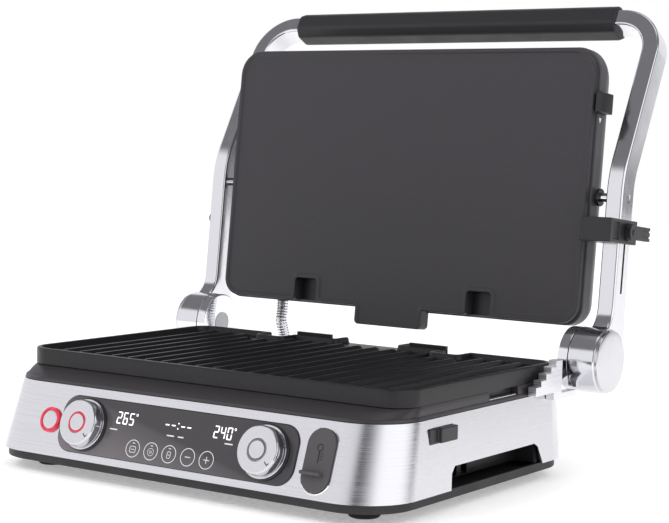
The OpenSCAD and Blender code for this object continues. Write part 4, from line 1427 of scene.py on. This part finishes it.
@dataclass
class Heating:
    """Elements, reflectors, sensors, boards, screws and latch, kept as designed."""

    parts: dict[str, tuple[Finish, str]] = field(
        default_factory=lambda: {
            "lower_element": (SHEATH, "sheathed_element"),
            "upper_element": (SHEATH, "sheathed_element"),
            "lower_reflector": (REFLECTOR, "reflector_steel"),
            "upper_reflector": (REFLECTOR, "reflector_steel"),
            "lower_sensor": (BRASS, "brass"),
            "upper_sensor": (BRASS, "brass"),
            "control_board": (BOARD, "circuit_board"),
            "power_board": (BOARD, "circuit_board"),
            "base_screws": (ZINC, "zinc_steel"),
            "cover_screws": (ZINC, "zinc_steel"),
            "lower_latch": (ZINC, "zinc_steel"),
            "hinge_springs": (SPRING, "spring_steel"),
            "hinge_pins": (ZINC, "zinc_steel"),
            "grip_core": (ZINC, "zinc_steel"),
        }
    )

    def build(self) -> None:
        """Gives each node its finish."""
        for node, (finish, _) in self.parts.items():
            for i in range(max(len(frame["nodes"][node].data.materials), 1)):
                if frame["nodes"][node].data.materials:
                    frame["nodes"][node].data.materials[i] = finish.material()
                else:
                    frame["nodes"][node].data.materials.append(finish.material())
            log.info("%s: finish %s", node, finish.name)


@dataclass
class Hinge:
    """One hinge: the base's knuckle with its foot, the arm's barrel and its cap."""

    side: Side
    radius: float = 26.7

    def x_place(self, x: float, lid: bool) -> Matrix:
        """Place on the hinge axis whose +Z points away from the press.

        Args:
            x: distance from the middle in mm.
            lid: follows the opened cover.

        Returns:
            The matrix of that place, in mm.
        """
        place = along_x(self.side.value * x, AXIS.y, AXIS.z, self.side is Side.LEFT)
        return (OPENED if lid else REST) @ place

    def build(self) -> None:
        """Builds the knuckle and the cap."""
        word = self.side.name.lower()
        r = self.radius - 0.2
        knuckle = Shape().lathe(
            [(6.03, 0.8), (10, 0.8), (10, 0), (r - 0.8, 0), (r - 0.2, 0.3), (r, 0.9), (r, 8.2),
             (r - 0.2, 8.8), (r - 0.8, 9.0), (6.03, 9.0)],
            self.x_place(184.2, False), 120,
        )
        x0, x1 = sorted((self.side.value * 140.2, self.side.value * 190))
        foot = [(x0, 129.5, 3), (x1, 129.5, 0.5), (x1, 142, 0.5), (x0, 142, 3)]
        knuckle.slab(foot, 80.0, 84.0, 0.8)
        knuckle.piece(
            f"{word}_bracket_made", POLISHED, Body.BASE, [f"{word}_hinge_bracket"],
            slot="polished_steel",
        )
        screws = Shape()
        for x in (148.2, 168.2):
            at = Matrix.Translation((self.side.value * x, 135.75, 83.6))
            screws.lathe([(0, 0), (3.6, 0), (3.6, 1.0), (2.9, 1.8), (1.8, 1.9), (1.6, 1.0),
                          (0, 1.0)], at, 32, ring=False)
        screws.piece(f"{word}_bracket_screws", ZINC, Body.BASE, slot="zinc_steel")
        cap = [
            (0, 0), (25.5, 0), (25.5, 1.9), (25.2, 2.5), (24.4, 2.95), (19, 3.2), (10, 3.4),
            (0, 3.45),
        ]
        Shape().lathe(cap, self.x_place(217.0, True), 120, ring=False).piece(
            f"{word}_cap_made", SATIN, Body.ARMS, [f"{word}_end_cap"], slot="arm_metal",
            axis=self.x_place(217.0, True),
        )


@dataclass
class Arm:
    """One cast arm: barrel, flared root, bent bar and the elbow into the grip."""

    side: Side
    thick: float = 15.0
    deep: float = 22.5
    edge: float = 2.2
    bend_radius: float = 75.0
    elbow: float = 34.0

    def section(self, w: float, h: float) -> list[tuple[float, float]]:
        """Outline of the bar, softened along its four edges.

        Args:
            w: width in mm.
            h: height in mm.

        Returns:
            The outline's points.
        """
        return outline(rect_corners(w, h, self.edge), 0, 5)

    def bar(self) -> Shape:
        """Draws the bar from the barrel to the grip."""
        sign, mid, z0 = self.side.value, 207.5, 111.75
        half = self.deep / 2
        low = [(AXIS.y - 15, AXIS.z + 2)] + curve(
            [(AXIS.y - 24.5, AXIS.z - 4), (AXIS.y - 31, z0 - half), (AXIS.y - 46, z0 - half)]
        )
        high = curve(
            [(AXIS.y - 6, AXIS.z + 23.7), (AXIS.y - 20, z0 + half + 4),
             (AXIS.y - 32, z0 + half + 3)]
        ) + curve(
            [(AXIS.y - 40, z0 + half + 1.6), (AXIS.y - 50, z0 + half + 0.4),
             (AXIS.y - 90, z0 + half)]
        )
        loops: list[Loop] = []
        reach = self.bend_radius * math.tan(RISE / 2)
        for y in (138, 134, 130, 126, 122, 118, 114, 110, 106, 102, 96, 88, 78, 68, 58, 40, 20):
            a, b = height_at(low, y), height_at(high, y)
            loops.append(
                [Vector((sign * (mid + u), y, (a + b) / 2 + v))
                 for u, v in self.section(self.thick, b - a)]
            )
        for i in range(13):
            t = RISE * i / 12
            spine = Vector(
                (0, BEND.y + reach - self.bend_radius * math.sin(t),
                 z0 + self.bend_radius * (1 - math.cos(t)))
            )
            up = Vector((0, math.sin(t), math.cos(t)))
            loops.append(
                [spine + Vector((sign * (mid + u), 0, 0)) + up * v
                 for u, v in self.section(self.thick, self.deep)]
            )
        bent = Matrix.Translation(BEND) @ Matrix.Rotation(-RISE, 4, "X")
        turn_y = self.elbow - HANDLE_RUN
        steps = [(0.0, y) for y in (-60.0, -100.0)]
        for _, y in steps:
            loops.append(
                [bent @ Vector((sign * (mid + u), y, v))
                 for u, v in self.section(self.thick, self.deep)]
            )
        for i in range(17):
            t = math.pi / 2 * i / 16
            loops.append(
                [bent @ Vector((sign * (mid - self.elbow + (self.elbow + u) * math.cos(t)),
                                turn_y - (self.elbow + u) * math.sin(t), v))
                 for u, v in self.section(self.thick, self.deep)]
            )
        loops.append(
            [bent @ Vector((sign * 159.2, -HANDLE_RUN - u, v))
             for u, v in self.section(self.thick, self.deep)]
        )
        return Shape().loft(loops)

    def build(self) -> None:
        """Builds the arm and cuts its bores."""
        word, sign = self.side.name.lower(), self.side.value
        away = self.side is Side.LEFT
        barrel = [
            (0, 0), (25.7, 0), (26.5, 0.3), (26.7, 1.0), (26.7, 21.6), (26.5, 22.6),
            (25.9, 23.3), (25.2, 23.4), (0, 23.4),
        ]
        root = Shape().lathe(
            barrel, along_x(sign * 193.6, AXIS.y, AXIS.z, away), 144, ring=False
        ).cutter()
        made = self.bar().cutter()
        join = made.modifiers.new("join", "BOOLEAN")
        join.operation, join.solver, join.object = "UNION", "EXACT", root
        bores = [
            (6.06, 0.0, 400.0, AXIS.y, AXIS.z), (20.7, 202.7, 218.0, AXIS.y, AXIS.z),
            (4.06, 0.0, 400.0, 16.0, 111.75),
        ]
        if away:
            bores.append((5.3, 207.0, 224.0, 51.4, 112.75))
        tools = [
            Shape().lathe([(0, 0), (r, 0), (r, b - a), (0, b - a)],
                          along_x(sign * a, y, z, away), 48, ring=False).cutter()
            for r, a, b, y, z in bores
        ]
        if not away:
            tools.append(Shape().box((211, 38.8, 110.15), (219, 94.8, 113.35)).cutter())
        cut(made, tools)
        bpy.data.objects.remove(root)
        made.name = f"{word}_arm_made"
        made.data.transform(Matrix.Scale(MM, 4) @ OPENED)
        dress(made, ARM_METAL, 0.0, 32.0)
        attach(made, Body.ARMS.value)
        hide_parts(f"{word}_arm")
        log.info("%s arm: %d faces", word, len(made.data.polygons))


@dataclass
class Grip:
    """The full-width grip with its flats and rounded shoulders."""

    half: float = 169.0

    def build(self) -> None:
        """Builds the grip."""
        stack = [(2.2, -169.0), (0.6, -168.2), (0.0, -166.4), (0.0, 166.4), (0.6, 168.2),
                 (2.2, 169.0)]
        corners = [
            (-12.9, -7.6, 6), (-6.6, -14.4, 6), (6.6, -14.4, 6), (12.9, -7.6, 6),
            (12.9, 7.6, 6), (6.6, 14.4, 6), (-6.6, 14.4, 6), (-12.9, 7.6, 6),
        ]
        loops = [
            [Vector((x, v, w)) for v, w in outline(corners, g, 5)] for g, x in stack
        ]
        tools = []
        for s in Side:
            x0, x1 = sorted((s.value * 158.9, s.value * 170))
            tools.append(Shape().box((x0, -7.6, -11.35), (x1, 7.6, 11.35)).cutter())
        tools.append(
            Shape().lathe([(0, 0), (5.1, 0), (5.1, 340), (0, 340)], along_x(-170, 0, 0), 32,
                          ring=False).cutter()
        )
        Shape().loft(loops).piece(
            "grip_made", GRIP, Body.ARMS, ["grip"], place=HANDLE, cuts=tools,
            slot="black_plastic",
        )


@dataclass
class Lid:
    """The floating lid: shell, frame, pins and release clip."""

    half: float = 186.5
    front: float = -108.5
    rear: float = 124.5

    def loop(self, inset: float, z: float, skin: float = 0.0) -> Loop:
        """One level of the shell, drawn in further at the front than the rear.

        Args:
            inset: how far it is drawn in at the front and sides, in mm.
            z: its height in mm.
            skin: the wall left outside it, in mm.

        Returns:
            The loop.
        """
        corners = box_corners(
            self.half - inset - skin, self.front + inset + skin,
            self.rear - inset * 0.5 - skin, 22, 16,
        )
        return at_height(outline(corners, 0, 12), z)

    def shell(self) -> None:
        """Builds the hollow shell with its slots."""
        outer = [
            (0.7, 101.7), (0.15, 102.0), (0.0, 102.8), (0.0, 112.0), (0.15, 114.6),
            (1.2, 118.6), (2.9, 123.4), (5.0, 128.2), (7.6, 132.7), (11.0, 136.8),
            (15.2, 140.4), (19.6, 142.8), (24.2, 144.1), (32.0, 144.6), (44.0, 144.7),
        ]
        inner = [(g, z - 2.0 if z > 114 else z) for g, z in outer]
        loops = [self.loop(g, z, 2.0) for g, z in reversed(inner)]
        loops += [self.loop(g, z) for g, z in outer]
        tools = [
            Shape().box((182.5, -70.8, 99.7), (192.5, -53.2, 117.7)).cutter(),
            Shape().box((-35.3, 119.5, 100), (35.3, 140, 106.9)).cutter(),
        ]
        hole = Matrix.Translation((-140, 110, 128.2)) @ Matrix.Rotation(-math.pi / 2, 4, "X")
        tools.append(
            Shape().lathe([(0, 0), (6.6, 0), (6.6, 30), (0, 30)], hole, ring=False).cutter()
        )
        tools.append(Shape().box((-146.6, 110.5, 110.9), (-133.4, 140, 128.2)).cutter())
        for s in Side:
            place = along_x(s.value * 175, 16, 111.75, s is Side.LEFT)
            tools.append(
                Shape().lathe([(0, 0), (4.0, 0), (4.0, 30), (0, 30)], place, 40,
                              ring=False).cutter()
            )
        Shape().loft(loops).piece(
            "lid_shell_made", LID, Body.COVER, ["cover_shell"], place=OPENED, cuts=tools,
            slot="cover_plastic",
        )

    def pins(self) -> None:
        """Builds the pivot pins and the dark sleeves round them."""
        pins, sleeves = Shape(), Shape()
        for s in Side:
            flip = s is Side.LEFT
            pins.rod(4.0, 36.0, along_x(s.value * 178.5, 16, 111.75, flip), 0.6, 0.02)
            sleeves.lathe(
                [(4.02, 0), (7.4, 0), (7.5, 0.3), (7.5, 1.9), (7.1, 2.4), (4.02, 2.4)],
                along_x(s.value * 188.2, 16, 111.75, flip), 48,
            )
        pins.piece(
            "pivot_pins_made", POLISHED, Body.COVER, ["cover_pins"], place=OPENED,
            slot="polished_steel",
        )
        sleeves.piece("pivot_sleeves", BLACK, Body.COVER, place=OPENED, slot="black_plastic")

    def build(self) -> None:
        """Builds the lid."""
        self.shell()
        self.pins()
        Carried("cover_frame", BLACK, 0.5, "black_plastic").build()
        Carried("upper_release_clip", BLACK, 0.9, "black_plastic").build()
        arrow = [Vector((186.56, y, z)) for y, z in ((-49.6, 104.4), (-45.2, 106.6), (-49.6, 108.8))]
        Shape().loft([arrow, [p - Vector((0.4, 0, 0)) for p in arrow]]).piece(
            "alignment_arrow", MARK, Body.COVER, place=OPENED, slot="cover_plastic"
        )


@dataclass
class Conduit:
    """Armoured conduit from the base to the lid, drawn as one fixed mesh for the opened lid."""

    x: float = -140.0
    radius: float = 6.0
    pitch: float = 2.6

    def route(self) -> list[Vector]:
        """Points along the conduit's middle, in mm."""
        top = OPENED @ Vector((self.x, 127.5, 128.2))
        way = (OPENED.to_3x3() @ Vector((0, 1, 0))).normalized()
        ends = [top - 8 * way, top + 8 * way, top + 18 * way]
        y, z = top.y, top.z
        turns = [(y + 3, z - 32), (y + 3, z - 44), (y - 2, z - 56), (y - 10, z - 64),
                 (161.5, 48), (155.5, 48), (147.5, 48)]
        return ends + [Vector((self.x, a, b)) for a, b in turns]

    def build(self) -> None:
        """Builds the conduit as a ringed hose."""
        knots = self.route()
        fine: list[Vector] = []
        for i in range(len(knots) - 1):
            a, b = knots[max(i - 1, 0)], knots[i]
            c, d = knots[i + 1], knots[min(i + 2, len(knots) - 1)]
            for t in (k / 24 for k in range(24)):
                fine.append(
                    0.5 * (2 * b + (c - a) * t + (2 * a - 5 * b + 4 * c - d) * t * t
                           + (3 * b - a - 3 * c + d) * t ** 3)
                )
        fine.append(knots[-1])
        loops: list[Loop] = []
        run = 0.0
        for i, point in enumerate(fine):
            ahead, back = fine[min(i + 1, len(fine) - 1)], fine[max(i - 1, 0)]
            run += (point - fine[i - 1]).length if i else 0.0
            way = (ahead - back).normalized()
            side = Vector((1, 0, 0))
            up = way.cross(side).normalized()
            wave = 0.5 + 0.5 * math.cos(2 * math.pi * run / self.pitch)
            r = self.radius - 0.1 - 0.7 * wave
            loops.append(
                [point + r * (side * math.cos(k * math.pi / 10) + up * math.sin(k * math.pi / 10))
                 for k in range(20)]
            )
        made = Shape().loft(loops).linked("conduit_made", REST)
        made.data.transform(Matrix.Scale(MM, 4))
        made.data.materials.append(POLISHED.material())
        made.data.shade_smooth()
        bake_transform(made)
        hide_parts("cable_conduit")
        log.info("conduit: %d faces", len(made.data.polygons))


@dataclass
class Fittings:
    """Rack, height slider, lever and the release buttons."""

    carried: list[Carried] = field(
        default_factory=lambda: [
            Carried("height_rack", RACK_STEEL, 0.45, "brushed_steel"),
            Carried("height_slider", BLACK, 1.0, "black_plastic"),
            Carried("slider_lever", BLACK, 0.5, "black_plastic"),
            Carried("lower_release_button", BLACK, 0.9, "black_plastic"),
            Carried("flat_release_button", BLACK, 0.8, "black_plastic"),
        ]
    )

    def build(self) -> None:
        """Builds the fittings."""
        for part in self.carried:
            part.build()


@dataclass
class Studio:
    """Camera, floor, light and surroundings."""

    lens: float = 92.62
    where: tuple[float, float, float] = (0.825444, -1.121054, 0.270535)
    turn: tuple[float, float, float] = (34.73, 4.133, 1.279)

    def camera(self) -> None:
        """Places the camera."""
        a, e, r = (math.radians(v) for v in self.turn)
        ahead = Vector((-math.sin(a) * math.cos(e), math.cos(a) * math.cos(e), -math.sin(e)))
        right = Vector((math.cos(a), math.sin(a), 0))
        up = right.cross(ahead)
        across = right * math.cos(r) + up * math.sin(r)
        above = up * math.cos(r) - right * math.sin(r)
        turned = Matrix((across, above, -ahead)).transposed().to_4x4()
        data = bpy.data.cameras.new("camera")
        data.lens, data.sensor_width = self.lens, 36.0
        data.clip_start, data.clip_end = 0.05, 50.0
        made = bpy.data.objects.new("camera", data)
        made.matrix_world = Matrix.Translation(self.where) @ turned
        bpy.context.scene.collection.objects.link(made)
        bpy.context.scene.camera = made

    def floor(self) -> None:
        """Lays the pale floor."""
        made = Shape().loft([at_height(outline(rect_corners(9000, 9000, 4000), 0, 16), z)
                             for z in (-10.0, -0.05)]).linked("floor", REST)
        made.data.transform(Matrix.Scale(MM, 4))
        made.data.materials.append(FLOOR.material())

    def lamp(
        self, name: str, at: tuple[float, float, float], size: float, power: float
    ) -> None:
        """Hangs a square soft lamp aimed at the press.

        Args:
            name: the lamp's name.
            at: its place in metres.
            size: its side in metres.
            power: its power in watts.
        """
        data = bpy.data.lights.new(name, "AREA")
        data.shape, data.size, data.energy = "SQUARE", size, power
        made = bpy.data.objects.new(name, data)
        made.location = at
        aim = Vector((0, 0.05, 0.15)) - Vector(at)
        made.rotation_mode = "QUATERNION"
        made.rotation_quaternion = aim.to_track_quat("-Z", "Y")
        made.visible_glossy = False
        bpy.context.scene.collection.objects.link(made)

    def surroundings(self) -> None:
        """White room for the eye and for diffuse light, panels and gaps for mirrors."""
        world = bpy.data.worlds.new("studio")
        bpy.context.scene.world = world
        world.use_nodes = True
        tree = world.node_tree
        tree.nodes.clear()
        place = add(tree, "ShaderNodeTexCoord")
        way = add(tree, "ShaderNodeSeparateXYZ", Vector=place.outputs["Generated"])
        back = add(tree, "ShaderNodeMath", {"operation": "MULTIPLY"},
                   in_0=way.outputs["Y"], in_1=-1.0)
        round_ = add(tree, "ShaderNodeMath", {"operation": "ARCTAN2"},
                     in_0=way.outputs["X"], in_1=back.outputs[0])
        span = add(tree, "ShaderNodeMapRange", Value=round_.outputs[0],
                   From_Min=-math.pi, From_Max=math.pi)
        white, grey = (0.95, 0.95, 0.97, 1), (0.36, 0.36, 0.38, 1)
        bright, dark = (1.35, 1.35, 1.38, 1), (0.05, 0.05, 0.055, 1)
        stops = [
            (0.0, white), (0.13, white), (0.17, grey), (0.2, white), (0.5, white),
            (0.545, dark), (0.59, grey), (0.63, white), (0.66, bright), (0.79, bright),
            (0.83, white), (0.86, dark), (0.913, dark), (0.937, white), (1.0, white),
        ]
        walls = ramp(tree, span.outputs["Result"], stops)
        tall = ramp(
            tree, way.outputs["Z"],
            [(0.0, (0, 0, 0, 1)), (0.52, (0, 0, 0, 1)), (0.62, (1, 1, 1, 1)),
             (0.9, (1, 1, 1, 1)), (0.97, (0, 0, 0, 1))],
        )
        above = add(tree, "ShaderNodeMix", {"data_type": "RGBA"}, Factor=tall,
                    in_6=walls, in_7=(0.2, 0.2, 0.21, 1))
        low = add(tree, "ShaderNodeMapRange", Value=way.outputs["Z"],
                  From_Min=-0.02, From_Max=-0.001, To_Min=1.0, To_Max=0.0)
        mirror = add(tree, "ShaderNodeMix", {"data_type": "RGBA"}, Factor=low.outputs[0],
                     in_6=above.outputs[2], in_7=(0.3, 0.3, 0.31, 1))
        light = add(tree, "ShaderNodeLightPath")
        shown = add(tree, "ShaderNodeMix", {"data_type": "RGBA"},
                    Factor=light.outputs["Is Glossy Ray"], in_6=(1, 1, 1, 1),
                    in_7=mirror.outputs[2])
        room = add(tree, "ShaderNodeBackground", Color=shown.outputs[2], Strength=1.0)
        add(tree, "ShaderNodeOutputWorld", Surface=room.outputs[0])

    def build(self) -> None:
        """Sets the studio up."""
        self.camera()
        self.floor()
        self.surroundings()
        self.lamp("key", (-0.9, -1.3, 1.9), 1.2, 14.0)
        self.lamp("fill", (1.6, -0.4, 1.5), 1.2, 6.0)
        bpy.context.scene.view_settings.view_transform = "Standard"


def main() -> None:
    """Builds the press, piece by piece, and the studio round it."""
    logging.basicConfig(level=logging.INFO, format="%(name)s %(message)s")
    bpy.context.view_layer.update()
    Housing().build()
    ControlPanel().build()
    SocketFlap().build()
    CookingPlate("lower_plate", Body.LOWER_PLATE, NONSTICK, 93.2, 5.0, True, REST).build()
    CookingPlate("upper_plate", Body.UPPER_PLATE, UPPER_COAT, 93.7, 1.6, False, OPENED).build()
    Heating().build()
    for side in Side:
        Hinge(side).build()
        Arm(side).build()
    Grip().build()
    Lid().build()
    Conduit().build()
    Fittings().build()
    Studio().build()


if __name__ == "__main__":
    main()
